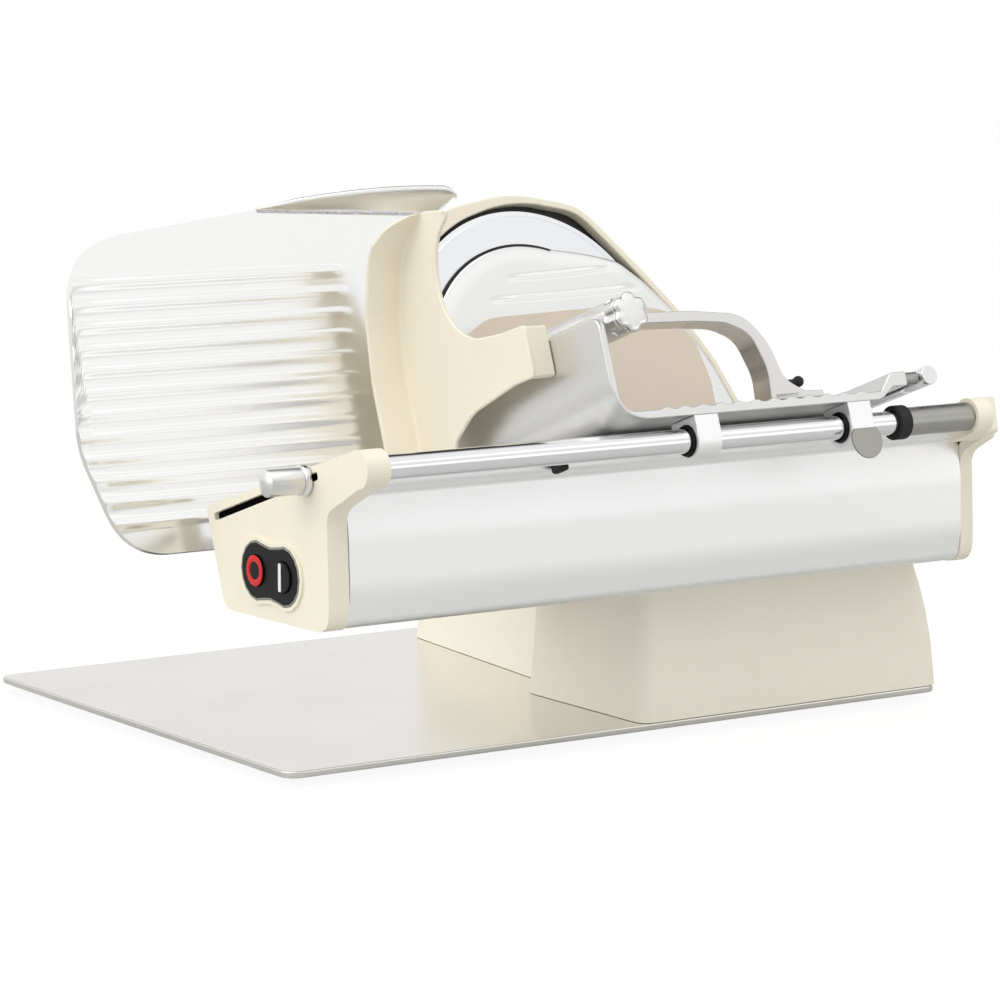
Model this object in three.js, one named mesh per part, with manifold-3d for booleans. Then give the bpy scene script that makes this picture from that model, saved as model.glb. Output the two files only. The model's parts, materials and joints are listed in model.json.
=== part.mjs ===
// Electric gravity-feed food slicer with a round blade, a ribbed gauge plate on the operator's left,
// a food carriage on a round rail and a pusher arm over the tray. Millimetres, +Z up.
// X runs along the rail from the switch end, Y runs back from the front edge of the base plate.
import * as THREE from 'three';
import { mergeVertices } from 'three/addons/utils/BufferGeometryUtils.js';
import Module from 'manifold-3d';

const wasm = await Module();
wasm.setup();

// Driving dimensions
const seatGap = 0.3;            // clearance between touching pieces
const overrun = 2;              // how far a cutter runs past the face that it opens
const feedTiltDegrees = 20;     // lean of the blade and tray that feeds by gravity
const plateWidth = 497;         // base plate along X
const plateDepth = 375;         // base plate along Y
const plateThickness = 4;
const footHeight = 6;
const bladeRadius = 98;
const bladeX = 274.2;           // blade axis from the base plate's left edge
const bladeY = 142.1;           // blade centre from the base plate's front edge
const bladeZ = 220.9;           // blade centre above the base plate's underside
const railRadius = 7.5;
const railForward = 186.2;      // rail axis in front of the blade plane
const railBelow = 99.8;         // rail axis below the blade axis, down the slope
const trayLength = 192;         // carriage tray along the feed direction
const trayFront = -198;         // end face of the tray before the blade plane
const housingLeft = 7;          // outer face of the switch end cap
const housingRight = 493;       // outer face of the far end cap

// The tilted frame shares X with the machine, has +y into the blade plane and +z up the slope.
const tilt = THREE.MathUtils.degToRad(feedTiltDegrees);
const machine = new THREE.Group();
machine.position.set(-plateWidth / 2, -plateDepth / 2, footHeight);
const cutting = new THREE.Group();
cutting.position.set(0, bladeY, bladeZ);
cutting.rotation.x = -tilt;
machine.add(cutting);
cutting.updateMatrix();

// Shapes
const cornerStepsCount = 4;
const cornerRoomShare = 0.48;     // most of an outline's side that one rounded corner may take
function roundedOutline(corners, stepsCount = cornerStepsCount) {
  const at = (i) => {
    const [x, y] = corners[(i + corners.length) % corners.length];
    return new THREE.Vector2(x, y);
  };
  return corners.flatMap(([, , radius = 0], i) => {
    const corner = at(i);
    if (radius === 0) return [corner];
    const toBefore = at(i - 1).sub(corner);
    const toAfter = at(i + 1).sub(corner);
    const half = toBefore.angleTo(toAfter) / 2;
    const room = cornerRoomShare * Math.min(toBefore.length(), toAfter.length());
    const reach = Math.min(radius / Math.tan(half), room);
    const start = corner.clone().addScaledVector(toBefore.normalize(), reach);
    const end = corner.clone().addScaledVector(toAfter.normalize(), reach);
    return new THREE.QuadraticBezierCurve(start, corner, end).getPoints(stepsCount);
  });
}

// Corners from a table of shares: across and up from an origin, and a corner radius as a share of the height
function cornersFrom(shares, [originX, originY], [width, height]) {
  return shares.map(([across, up, round = 0]) => [
    originX + across * width, originY + up * height, round * height]);
}
function rectangle(left, low, right, high, radius = 0) {
  return roundedOutline([
    [left, low, radius], [right, low, radius], [right, high, radius], [left, high, radius]]);
}

function circleOutline(x, y, radius, stepsCount) {
  return Array.from({ length: stepsCount }, (_, i) => {
    const angle = (2 * Math.PI * i) / stepsCount;
    return new THREE.Vector2(x + radius * Math.cos(angle), y + radius * Math.sin(angle));
  });
}

// A round outline with soft lobes
const stepsPerLobeCount = 6;
function lobedOutline(radius, lobesCount, lobeShare) {
  const stepsCount = lobesCount * stepsPerLobeCount;
  return Array.from({ length: stepsCount }, (_, i) => {
    const angle = (2 * Math.PI * i) / stepsCount;
    const reach = radius * (1 + lobeShare * Math.cos(lobesCount * angle));
    return new THREE.Vector2(reach * Math.cos(angle), reach * Math.sin(angle));
  });
}

function insetOutline(points, distance) {
  const list = THREE.ShapeUtils.isClockWise(points) ? [...points].reverse() : points;
  const count = list.length;
  return list.map((point, i) => {
    const into = point.clone().sub(list[(i + count - 1) % count]).normalize();
    const out = list[(i + 1) % count].clone().sub(point).normalize();
    const normalIn = new THREE.Vector2(-into.y, into.x);
    const normalOut = new THREE.Vector2(-out.y, out.x);
    const mitre = normalIn.clone().add(normalOut);
    return point.clone().addScaledVector(mitre, distance / (1 + normalIn.dot(normalOut)));
  });
}

// The outline's two axes are Y and Z for axis x, X and Z for axis y, and X and Y for axis z.
const turnTo = {
  x: new THREE.Matrix4().makeBasis(
    new THREE.Vector3(0, 1, 0), new THREE.Vector3(0, 0, 1), new THREE.Vector3(1, 0, 0)),
  y: new THREE.Matrix4().makeBasis(
    new THREE.Vector3(1, 0, 0), new THREE.Vector3(0, 0, 1), new THREE.Vector3(0, -1, 0)),
  z: new THREE.Matrix4(),
};
function prism(axis, outline, from, to, holes = []) {
  const shape = new THREE.Shape(outline);
  holes.forEach((hole) => shape.holes.push(new THREE.Path(hole)));
  const geometry = new THREE.ExtrudeGeometry(shape, { depth: to - from, bevelEnabled: false });
  geometry.applyMatrix4(turnTo[axis]);
  const shift = axis === 'y' ? to : from;
  return geometry.translate(axis === 'x' ? shift : 0, axis === 'y' ? shift : 0, axis === 'z' ? shift : 0);
}

// A revolved piece: pairs of radius and place along the axis, closed on the axis or on itself.
function turned(axis, profile, stepsCount, center) {
  const points = profile.map(([radius, along]) => new THREE.Vector2(radius, along));
  const geometry = new THREE.LatheGeometry(points, stepsCount);
  if (axis === 'x') geometry.rotateZ(-Math.PI / 2);
  if (axis === 'z') geometry.rotateX(Math.PI / 2);
  return geometry.translate(...center);
}
function rod(axis, radius, from, to, center, stepsCount = roundStepsCount) {
  return turned(axis, [[0, from], [radius, from], [radius, to], [0, to]], stepsCount, center);
}
function tube(axis, inner, outer, from, to, center, stepsCount = roundStepsCount) {
  const ring = [[inner, from], [outer, from], [outer, to], [inner, to], [inner, from]];
  return turned(axis, ring, stepsCount, center);
}
const roundStepsCount = 22;

// Rings of equal point counts at rising heights, joined by walls and closed at both ends.
function loft(rings, heights) {
  const count = rings[0].length;
  const positions = rings.flatMap((ring, level) => ring.flatMap((p) => [p.x, p.y, heights[level]]));
  const index = [];
  for (let level = 0; level + 1 < rings.length; level += 1) {
    for (let i = 0; i < count; i += 1) {
      const next = (i + 1) % count;
      const low = level * count;
      const high = low + count;
      index.push(low + i, low + next, high + next, low + i, high + next, high + i);
    }
  }
  const lastRing = (rings.length - 1) * count;
  THREE.ShapeUtils.triangulateShape(rings[0], []).forEach(([a, b, c]) => index.push(c, b, a));
  THREE.ShapeUtils.triangulateShape(rings[rings.length - 1], [])
    .forEach(([a, b, c]) => index.push(lastRing + a, lastRing + b, lastRing + c));
  const geometry = new THREE.BufferGeometry();
  geometry.setAttribute('position', new THREE.Float32BufferAttribute(positions, 3));
  geometry.setIndex(index);
  return geometry;
}

// Joins and cuts
function toSolid(geometry) {
  const bare = geometry.clone();
  bare.deleteAttribute('normal');
  bare.deleteAttribute('uv');
  const merged = mergeVertices(bare);
  return new wasm.Manifold(new wasm.Mesh({
    numProp: 3,
    vertProperties: merged.attributes.position.array,
    triVerts: new Uint32Array(merged.index.array),
  }));
}
function toGeometry(solid) {
  const { vertProperties, triVerts } = solid.getMesh();
  const geometry = new THREE.BufferGeometry();
  geometry.setAttribute('position', new THREE.Float32BufferAttribute(vertProperties, 3));
  geometry.setIndex(new THREE.BufferAttribute(triVerts, 1));
  geometry.computeVertexNormals();
  return geometry;
}
function join(...geometries) {
  return toGeometry(geometries.map(toSolid).reduce((a, b) => a.add(b)));
}
function cut(body, ...cutters) {
  return toGeometry(cutters.map(toSolid).reduce((a, b) => a.subtract(b), toSolid(body)));
}
function common(first, second) {
  return toGeometry(toSolid(first).intersect(toSolid(second)));
}

// Finishes
const finishes = {
  cream: { color: 0xefe8d2, roughness: 0.35, metalness: 0 },
  creamShade: { color: 0xe4dabb, roughness: 0.4, metalness: 0 },
  satinAluminium: { color: 0xd9dadb, roughness: 0.4, metalness: 0.9 },
  paintedAluminium: { color: 0xf1f1ef, roughness: 0.45, metalness: 0.3 },
  chrome: { color: 0xd2d2d6, roughness: 0.12, metalness: 1 },
  steel: { color: 0x9b9a95, roughness: 0.35, metalness: 1 },
  blade: { color: 0xc9ccce, roughness: 0.3, metalness: 1 },
  black: { color: 0x141416, roughness: 0.5, metalness: 0 },
  rubber: { color: 0x1c1c1d, roughness: 0.8, metalness: 0 },
  beige: { color: 0xd6cbb9, roughness: 0.4, metalness: 0 },
  board: { color: 0x2f6b45, roughness: 0.6, metalness: 0 },
  motor: { color: 0x6f7376, roughness: 0.5, metalness: 0.7 },
};
function add(group, name, finish, geometry) {
  const mesh = new THREE.Mesh(geometry, new THREE.MeshStandardMaterial(finishes[finish]));
  mesh.name = name;
  group.add(mesh);
  return mesh;
}

// A place in the tilted frame, from its place in the upright frame, as depth and height
function sloped(y, z) {
  const back = y - bladeY;
  const up = z - bladeZ;
  return [back * Math.cos(tilt) - up * Math.sin(tilt), back * Math.sin(tilt) + up * Math.cos(tilt)];
}
const intoTilt = new THREE.Matrix4().copy(cutting.matrix).invert();

// All below an upright height, as a cutter in the tilted frame
const cutterSpan = 2 * (plateWidth + plateDepth);
function below(height) {
  return prism('z', rectangle(-cutterSpan, -cutterSpan, cutterSpan, cutterSpan), -cutterSpan, height)
    .applyMatrix4(intoTilt);
}

// Base plate on four rubber feet
const plateCornerRadius = 12;
add(machine, 'base_plate', 'satinAluminium',
  prism('z', rectangle(0, 0, plateWidth, plateDepth, plateCornerRadius), 0, plateThickness));

const footRadius = 13;
const footTopRadius = 11;
const footHollowRadius = 4;
const footHollowDepth = 2.5;
const footInset = 38;
for (const [side, x] of [['left', footInset], ['right', plateWidth - footInset]]) {
  for (const [end, y] of [['front', footInset], ['rear', plateDepth - footInset]]) {
    const profile = [[0, footHollowDepth - footHeight], [footHollowRadius, footHollowDepth - footHeight],
      [footHollowRadius, -footHeight], [footRadius, -footHeight], [footTopRadius, -seatGap], [0, -seatGap]];
    add(machine, `foot_${end}_${side}`, 'rubber', turned('z', profile, roundStepsCount, [0, 0, 0]))
      .position.set(x, y, 0);
  }
}

// Base cabinet: a drafted L-shaped shell on the plate that carries the machine and holds the motor
const cabinetLeft = 258;
const cabinetRight = 499;
const cabinetFront = 1;
const cabinetStep = 128;          // depth of the wider front part
const cabinetRearInnerX = 284;    // left wall of the rear part where it leaves the front part
const cabinetRearLeft = 309;
const cabinetRear = 347;
const cabinetTop = 87;
const cabinetWall = 4;
const cabinetFrontDraft = 8;
const cabinetSideDraft = 4;
const cabinetEndDraft = 14;       // the far end leans in as a curve
const cabinetEndPower = 2.2;
const cabinetCorner = 12;
const cabinetStepCorner = 3;
const motorX = 372;
const motorBelow = 108;
const motorRadius = 36;
const motorFront = 42.2;
const motorLength = 108;
const motorRoom = 5;
const humpWall = 3;
const humpBack = 158;
function cabinetRing(heightShare, inset) {
  const front = cabinetFront + heightShare * cabinetFrontDraft + inset;
  const side = heightShare * cabinetSideDraft + inset;
  const right = cabinetRight - cabinetEndDraft * heightShare ** cabinetEndPower - inset;
  const radius = cabinetCorner - inset;
  return roundedOutline([
    [cabinetLeft + side, front, radius], [right, front, radius],
    [right, cabinetRear - side, radius], [cabinetRearLeft + side, cabinetRear - side, radius],
    [cabinetRearInnerX + side, cabinetStep - side, cabinetStepCorner],
    [cabinetLeft + side, cabinetStep - side, cabinetStepCorner],
  ]);
}
const cabinetBottom = plateThickness + seatGap;
const cabinetLevelShares = [0, 0.35, 0.6, 0.8, 1];
function cabinetBlock(inset, low, high) {
  const rings = cabinetLevelShares.map((share) => cabinetRing(share, inset));
  return loft(rings, cabinetLevelShares.map((share) => low + share * (high - low)));
}
const cabinetOuter = cabinetBlock(0, cabinetBottom, cabinetTop);
const cabinetInner = cabinetBlock(cabinetWall, cabinetBottom - overrun, cabinetTop - cabinetWall);
const humpHalfWidth = motorRadius + motorRoom + humpWall;
const humpTop = -motorBelow + motorRadius + motorRoom + humpWall;
const motorDoorFront = 132;
const motorDoorBack = 254;
const motorDoorHalf = motorRadius + motorRoom;
const motorDoor = prism('z',
  rectangle(motorX - motorDoorHalf, motorDoorFront, motorX + motorDoorHalf, motorDoorBack),
  cabinetTop - cabinetWall - overrun, cabinetTop + overrun);
const glandX = 420;
const glandZ = 28;
const glandRadius = 6;
const glandHole = rod('y', glandRadius + seatGap, cabinetRear - cabinetSideDraft - cabinetWall - overrun,
  cabinetRear + overrun, [glandX, 0, glandZ]);
add(machine, 'base_cabinet', 'cream', cut(cabinetOuter, cabinetInner, motorDoor, glandHole));

// Gland that the mains lead leaves through, at the back of the cabinet
const glandFlangeRadius = 9;
const glandFlange = 3;
const glandBoreRadius = 3.4;
const glandLength = 14;
add(machine, 'cord_gland', 'black', turned('y', [
  [glandBoreRadius, -glandLength / 2], [glandRadius, -glandLength / 2], [glandRadius, 0],
  [glandFlangeRadius, 0], [glandFlangeRadius, glandFlange], [glandBoreRadius, glandFlange],
  [glandBoreRadius, -glandLength / 2],
], roundStepsCount, [0, 0, 0])).position.set(glandX, cabinetRear + seatGap, glandZ);

// Steel mounting plate between the cabinet and the rail housing
const mountLeft = 266;
const mountRight = 462;
const mountFront = 14;
const mountBack = 84;
const mountThickness = 4.5;
const mountCorner = 3;
add(machine, 'mounting_plate', 'steel', prism('z',
  rectangle(mountLeft, mountFront, mountRight, mountBack, mountCorner),
  cabinetTop + seatGap, cabinetTop + mountThickness));

// Rail housing: an extruded shell with a convex front that stands on the mounting plate
const housingFloor = cabinetTop + mountThickness + seatGap;   // upright height of its underside
const capThickness = 14;
const farCapThickness = 10;
const housingTopZ = -90;
const housingBackY = -12;
const housingWall = 3;
const lipY = -162;
const lipZ = -106;
const neckY = -143;
const neckZ = -114;
const frontFaceY = -34;           // front face above the base plate's front edge, upright
const frontFaceZ = 120;
const toeY = 4;
const toeRadius = 18;
const shellSoft = 12;
const bellySoft = 36;
const shellEdge = 5;
const shellLeft = housingLeft + capThickness + seatGap;
const shellRight = housingRight - farCapThickness - seatGap;
const [bellyY, bellyZ] = sloped(frontFaceY, frontFaceZ);
const [toeSlopedY, toeSlopedZ] = sloped(frontFaceY, housingFloor);
const [floorFrontY, floorFrontZ] = sloped(toeY, housingFloor);
const floorBackZ = (housingFloor - bladeZ + housingBackY * Math.sin(tilt)) / Math.cos(tilt);
const shellOutline = roundedOutline([
  [housingBackY, housingTopZ, shellEdge], [lipY, housingTopZ, shellEdge], [lipY, lipZ, shellEdge],
  [neckY, neckZ, shellSoft], [bellyY, bellyZ, bellySoft], [toeSlopedY, toeSlopedZ, toeRadius],
  [floorFrontY, floorFrontZ], [housingBackY, floorBackZ, shellSoft],
]);
const gaugeSlideLeft = 78;
const gaugeSlideRight = 150;
const gaugeSlideTop = -94.5;
const gaugeSlideBottom = -104.5;
const slideClearance = 1;
const slideWindow = prism('y', rectangle(
  gaugeSlideLeft - slideClearance, gaugeSlideBottom - slideClearance,
  gaugeSlideRight + slideClearance, gaugeSlideTop + slideClearance,
), housingBackY - housingWall - overrun, housingBackY + overrun);
add(cutting, 'rail_housing', 'paintedAluminium', cut(
  prism('x', shellOutline, shellLeft, shellRight, [insetOutline(shellOutline, housingWall)]), slideWindow));

// Screw head under the housing
const underScrewX = 121;
const underScrewY = 20;
const underScrewRadius = 5;
const underScrewHeight = 3;
const underScrewCrown = 3;
const underScrewEdge = 1;
add(machine, 'housing_screw', 'steel', turned('z', [
  [0, -underScrewHeight], [underScrewCrown, -underScrewHeight], [underScrewRadius, -underScrewEdge],
  [underScrewRadius, 0], [0, 0],
], roundStepsCount, [0, 0, 0])).position.set(underScrewX, underScrewY, housingFloor - seatGap);

// End caps that close the housing and carry the rail
const bossRadius = 11.5;
const bossReach = 2;              // boss beyond the cap's inner face
const capTopZ = -88.5;            // over the rail
const capBackTopZ = -79.5;        // at the back, where the cap stands higher
const capBackY = -9.5;
const capWall = 3;
const capLipDrop = 11;
const capLipSoft = 2.9;
const capProud = 1.5;             // cap beyond the shell
const railSocketDepth = 8;
const railY = -railForward;
const railZ = -railBelow;
const capOutline = roundedOutline([
  [capBackY, capBackTopZ, shellEdge], [railY, capTopZ],
  [railY + capLipSoft, railZ - capLipDrop, capLipSoft],
  [neckY - capProud, neckZ - capProud, shellSoft], [bellyY - capProud, bellyZ, bellySoft],
  [toeSlopedY - capProud, toeSlopedZ - capProud, toeRadius], [floorFrontY, floorFrontZ - capProud],
  [capBackY, floorBackZ - capProud, shellSoft],
]);
const slotStartY = -143;
const slotEndY = -17;
const slotStartZ = -92.6;         // middle of the slot at the operator's end
const slotEndZ = -88.1;
const slotHalfHeight = 2.4;
const slotEnd = 2;
const slotOutline = roundedOutline([
  [slotStartY, slotStartZ - slotHalfHeight, slotEnd], [slotEndY, slotEndZ - slotHalfHeight, slotEnd],
  [slotEndY, slotEndZ + slotHalfHeight, slotEnd], [slotStartY, slotStartZ + slotHalfHeight, slotEnd],
]);
const switchStopY = 43.5;         // centre of the O lobe, upright
const switchStartY = 12.5;        // centre of the I lobe, upright
const switchZ = 118.5;
const lobeRadius = 16.5;
const waistHalf = 14;
const switchPlateThickness = 2;
const switchRimWidth = 1.4;
const switchCollarWidth = 4;
const switchCollarRise = 1.6;
const lobeStepsCount = 10;
const lobeOpenShare = 0.62;       // half of a lobe's arc, as a share of half a turn
const buttonRadius = 9.2;
const buttonHoleRadius = 9.6;
const buttonWellRadius = buttonHoleRadius + seatGap;
function switchOutline(grow) {
  const middle = (switchStopY + switchStartY) / 2;
  const points = [];
  const openAngle = Math.PI * lobeOpenShare;
  for (const [lobeY, side] of [[switchStopY, 1], [switchStartY, -1]]) {
    for (let i = 0; i <= lobeStepsCount; i += 1) {
      const angle = side * Math.PI / 2 - Math.PI / 2 + (2 * i / lobeStepsCount - 1) * openAngle;
      points.push(new THREE.Vector2(
        lobeY + (lobeRadius + grow) * Math.cos(angle), switchZ + (lobeRadius + grow) * Math.sin(angle)));
    }
    points.push(new THREE.Vector2(middle, switchZ + side * (waistHalf + grow)));
  }
  return points.map((p) => new THREE.Vector2(...sloped(p.x, p.y)));
}
const leftCapInner = housingLeft + capThickness;
const rightCapInner = housingRight - farCapThickness;
const leftBossEnd = leftCapInner + bossReach;
const shellRoom = insetOutline(shellOutline, capWall);
const leftCapBody = join(
  cut(prism('x', capOutline, housingLeft, leftCapInner),
    prism('x', shellRoom, housingLeft + capWall, leftCapInner + overrun)),
  rod('x', bossRadius, housingLeft, leftBossEnd, [0, railY, railZ]),
  prism('x', switchOutline(switchCollarWidth), housingLeft - switchCollarRise, housingLeft + capWall));
add(cutting, 'switch_end_cap', 'cream', cut(leftCapBody,
  rod('x', railRadius + seatGap, leftBossEnd - railSocketDepth, leftBossEnd + overrun, [0, railY, railZ]),
  prism('x', slotOutline, housingLeft - overrun, leftCapInner + overrun),
  prism('x', switchOutline(switchRimWidth + seatGap),
    housingLeft - switchPlateThickness - overrun, housingLeft),
  ...[switchStopY, switchStartY].map((y) => rod('x', buttonWellRadius,
    housingLeft - overrun, housingLeft + capWall + overrun, [0, ...sloped(y, switchZ)]))));

// The far cap stands further out than its rail boss, on a neck that clears the housing's lip.
const rightBossEnd = 459.5;
const rightBossOuter = 472;
const farNeckLeft = 462;
const farNeckBackY = lipY - seatGap;
const farFold = 9;
const farFoldY = lipY - farFold;
const farOutline = roundedOutline([
  [capBackY, capTopZ, shellEdge], [farFoldY, capTopZ, shellEdge], [farFoldY, lipZ - shellEdge, shellEdge],
  [neckY - capProud, neckZ - capProud, shellSoft], [bellyY - capProud, bellyZ, bellySoft],
  [toeSlopedY - capProud, toeSlopedZ - capProud, toeRadius], [floorFrontY, floorFrontZ - capProud],
  [capBackY, floorBackZ - capProud, shellSoft],
]);
const farNeck = prism('x', roundedOutline([
  [farNeckBackY, capTopZ], [railY, capTopZ], [railY + capLipSoft, railZ - capLipDrop, capLipSoft],
  [farNeckBackY, lipZ - shellEdge],
]), farNeckLeft, rightCapInner + overrun);
add(cutting, 'far_end_cap', 'cream', cut(join(
  cut(prism('x', farOutline, rightCapInner, housingRight),
    prism('x', shellRoom, rightCapInner - overrun, housingRight - capWall)),
  farNeck, rod('x', bossRadius, rightBossEnd, rightBossOuter, [0, railY, railZ])),
  rod('x', railRadius + seatGap, rightBossEnd - overrun, rightBossEnd + railSocketDepth, [0, railY, railZ])));

// Guide rail with its far sleeve and stop ring
const sleeveRadius = 9;
const sleeveLeft = 407.5;
const stopRingLeft = 398.5;
const stopRingRadius = 10.8;
const railLeft = leftBossEnd - railSocketDepth + seatGap;
const railRight = rightBossEnd + railSocketDepth - seatGap;
add(cutting, 'guide_rail', 'chrome', rod('x', railRadius, railLeft, railRight, [0, railY, railZ]));
add(cutting, 'rail_sleeve', 'steel',
  tube('x', railRadius + seatGap, sleeveRadius, sleeveLeft, rightBossEnd - seatGap, [0, railY, railZ]));
add(cutting, 'rail_stop_ring', 'rubber',
  tube('x', railRadius + seatGap, stopRingRadius, stopRingLeft, sleeveLeft - seatGap, [0, railY, railZ]));

// Rubber rest behind the rail
const restX = 158.5;
const restRadius = 8.4;
const restFront = -172;
add(cutting, 'rail_rest_bumper', 'rubber',
  rod('y', restRadius, restFront, lipY - seatGap, [restX, 0, railZ]));

// Switch plate with its rim and the two push buttons
const buttonProud = 1.2;
const buttonDepth = 8;
const buttonStepsCount = 16;
add(cutting, 'switch_rim', 'steel', prism('x', switchOutline(switchRimWidth),
  housingLeft - switchPlateThickness, housingLeft - seatGap, [switchOutline(seatGap)]));
add(cutting, 'switch_plate', 'black', prism('x', switchOutline(0),
  housingLeft - switchPlateThickness, housingLeft - seatGap, [
    circleOutline(...sloped(switchStopY, switchZ), buttonHoleRadius, buttonStepsCount),
    circleOutline(...sloped(switchStartY, switchZ), buttonHoleRadius, buttonStepsCount),
  ]));
for (const [name, y] of [['stop_button', switchStopY], ['start_button', switchStartY]]) {
  add(cutting, name, 'black', rod('x', buttonRadius, -buttonProud, buttonDepth, [0, 0, 0], buttonStepsCount))
    .position.set(housingLeft - switchPlateThickness, ...sloped(y, switchZ));
}

// Control board inside the switch end of the housing
const boardX = 24;
const boardThickness = 1.6;
const boardHalfWidth = 36;
const boardHalfHeight = 15;
const boardBlock = 6;
const boardCenterY = (switchStopY + switchStartY) / 2;
const boardPlate = prism('x', rectangle(boardCenterY - boardHalfWidth, switchZ - boardHalfHeight,
  boardCenterY + boardHalfWidth, switchZ + boardHalfHeight), boardX, boardX + boardThickness);
const boardPegRadius = 2.5;
const boardPegInset = 4;
const boardPegY = boardHalfWidth - boardPegInset;
const boardPegs = [-1, 1].map((side) => rod('x', boardPegRadius, housingLeft + capWall + seatGap,
  boardX + boardThickness, [0, boardCenterY + side * boardPegY, switchZ], buttonStepsCount));
const boardSwitches = [switchStopY, switchStartY].map((y) => rod('x', boardBlock,
  boardX - boardBlock, boardX + boardThickness, [0, y, switchZ], buttonStepsCount));
add(machine, 'control_board', 'board', join(boardPlate, ...boardPegs, ...boardSwitches));

// Thickness knob on a stem that slides along the slot of the cap
const knobY = -129.2;
const knobShare = (knobY - slotStartY) / (slotEndY - slotStartY);
const knobZ = slotStartZ + knobShare * (slotEndZ - slotStartZ);
const knobRadius = 8;
const knobEnd = 27;
const knobEdge = 0.8;
const collarRadius = 9.4;
const collarWidth = 4;
const stemRadius = 2;
const knobGapToCap = 0.8;
const collarRight = housingLeft - knobGapToCap;
const stemLength = leftCapInner - collarRight - seatGap;
const knobBody = new THREE.Group();
knobBody.position.set(0, knobY, knobZ);
cutting.add(knobBody);
add(knobBody, 'thickness_knob', 'satinAluminium', turned('x', [
  [0, housingLeft - knobEnd], [knobRadius - knobEdge, housingLeft - knobEnd],
  [knobRadius, housingLeft - knobEnd + knobEdge], [knobRadius, collarRight - collarWidth - seatGap],
  [0, collarRight - collarWidth - seatGap],
], roundStepsCount, [0, 0, 0]));
add(knobBody, 'knob_collar', 'chrome', turned('x', [
  [0, collarRight - collarWidth], [collarRadius - knobEdge, collarRight - collarWidth],
  [collarRadius, collarRight - collarWidth + knobEdge], [collarRadius, collarRight],
  [stemRadius, collarRight], [stemRadius, collarRight + stemLength], [0, collarRight + stemLength],
], roundStepsCount, [0, 0, 0]));

// Blade body: the casting with a shallow well for the blade, on the cabinet behind the housing
const bodyFront = -3;
const wellFloor = 6;
const bodyWebBack = 10;
const bodyBack = 38;
const rimWall = 4.5;
const bodyRim = 10;               // body beyond the blade's edge
const bodyArcRadius = bladeRadius + bodyRim;
const bodyArcStart = 74;          // degrees, clockwise round the left side to bodyArcEnd
const bodyArcEnd = 212;
const bodyArcStepsCount = 24;
const bodyFoot = cabinetTop + seatGap;
const bodyRightShares = [         // the right flank, from the blade's axis, of the blade's radius
  [0.592, 0.99], [0.776, 0.765], [1, 0.5], [1.235, 0.235], [1.439, -0.122], [1.582, -0.469], [1.643, -0.816],
];
function bodyOutline(inset) {
  const arc = Array.from({ length: bodyArcStepsCount + 1 }, (_, i) => {
    const degrees = bodyArcStart + ((bodyArcEnd - bodyArcStart) * i) / bodyArcStepsCount;
    const angle = THREE.MathUtils.degToRad(degrees);
    return new THREE.Vector2(bladeX + bodyArcRadius * Math.cos(angle), bodyArcRadius * Math.sin(angle));
  });
  const footZ = (bodyFoot - bladeZ) / Math.cos(tilt) - bodyBack;
  const leftX = arc[arc.length - 1].x;
  const right = roundedOutline(cornersFrom(bodyRightShares, [bladeX, 0], [bladeRadius, bladeRadius]))
    .reverse();
  const points = [...arc, new THREE.Vector2(leftX, footZ), new THREE.Vector2(right[0].x, footZ), ...right];
  return insetOutline(points, inset);
}
const floorCutter = below(bodyFoot);
const hubBossRadius = 18;
const bearingOuter = 13;
const shaftRadius = 6;
const bossBack = 21;
const tieShares = [[1.202, -0.408]];   // from the blade's axis, of the blade's radius
const [[tieX, tieZ]] = cornersFrom(tieShares, [bladeX, 0], [bladeRadius, bladeRadius]);
const tieRadius = 3;
const cavityFoot = 4;
const cavityOutline = insetOutline(bodyOutline(0), rimWall);
const wellFootZ = -104;
const wellClip = prism('y', rectangle(-cutterSpan, wellFootZ, cutterSpan, cutterSpan),
  bodyFront - overrun, bodyBack + overrun);
const bodyShell = cut(prism('y', bodyOutline(0), bodyFront, bodyBack), floorCutter);
const bodyCavity = cut(
  prism('y', cavityOutline, bodyWebBack, bodyBack + overrun), below(bodyFoot + cavityFoot));
const bladeWell = common(prism('y', cavityOutline, bodyFront - overrun, wellFloor), wellClip);
add(cutting, 'blade_body', 'cream', cut(
  join(cut(bodyShell, bodyCavity, bladeWell), rod('y', hubBossRadius, wellFloor, bossBack, [bladeX, 0, 0])),
  rod('y', bearingOuter + seatGap, wellFloor - overrun, bossBack + overrun, [bladeX, 0, 0]),
  rod('y', tieRadius + seatGap, bodyFront - overrun, bodyBack + overrun, [tieX, 0, tieZ])));

// Black liner on the floor of the blade well
const linerThickness = 1.2;
const linerHoleRadius = 24;
const linerTieHole = 6;
add(cutting, 'blade_well_liner', 'black', cut(
  common(prism('y', insetOutline(bodyOutline(0), rimWall + seatGap),
    wellFloor - seatGap - linerThickness, wellFloor - seatGap), wellClip.clone().translate(0, 0, seatGap)),
  rod('y', linerHoleRadius, bodyFront, bodyBack, [bladeX, 0, 0]),
  rod('y', linerTieHole, bodyFront, bodyBack, [tieX, 0, tieZ])));

// Rear cover of the blade body
const rearCoverThickness = 3;
const motorShaftRadius = 4;
const motorShaftHole = 9;
const rearCoverFront = bodyBack + seatGap;
const rearCoverBack = rearCoverFront + rearCoverThickness;
add(cutting, 'rear_cover', 'cream', cut(prism('y', bodyOutline(0), rearCoverFront, rearCoverBack), floorCutter,
  rod('y', motorShaftHole, bodyFront, humpBack, [motorX, 0, -motorBelow]),
  rod('y', tieRadius + seatGap, bodyFront, humpBack, [tieX, 0, tieZ])));

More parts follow.
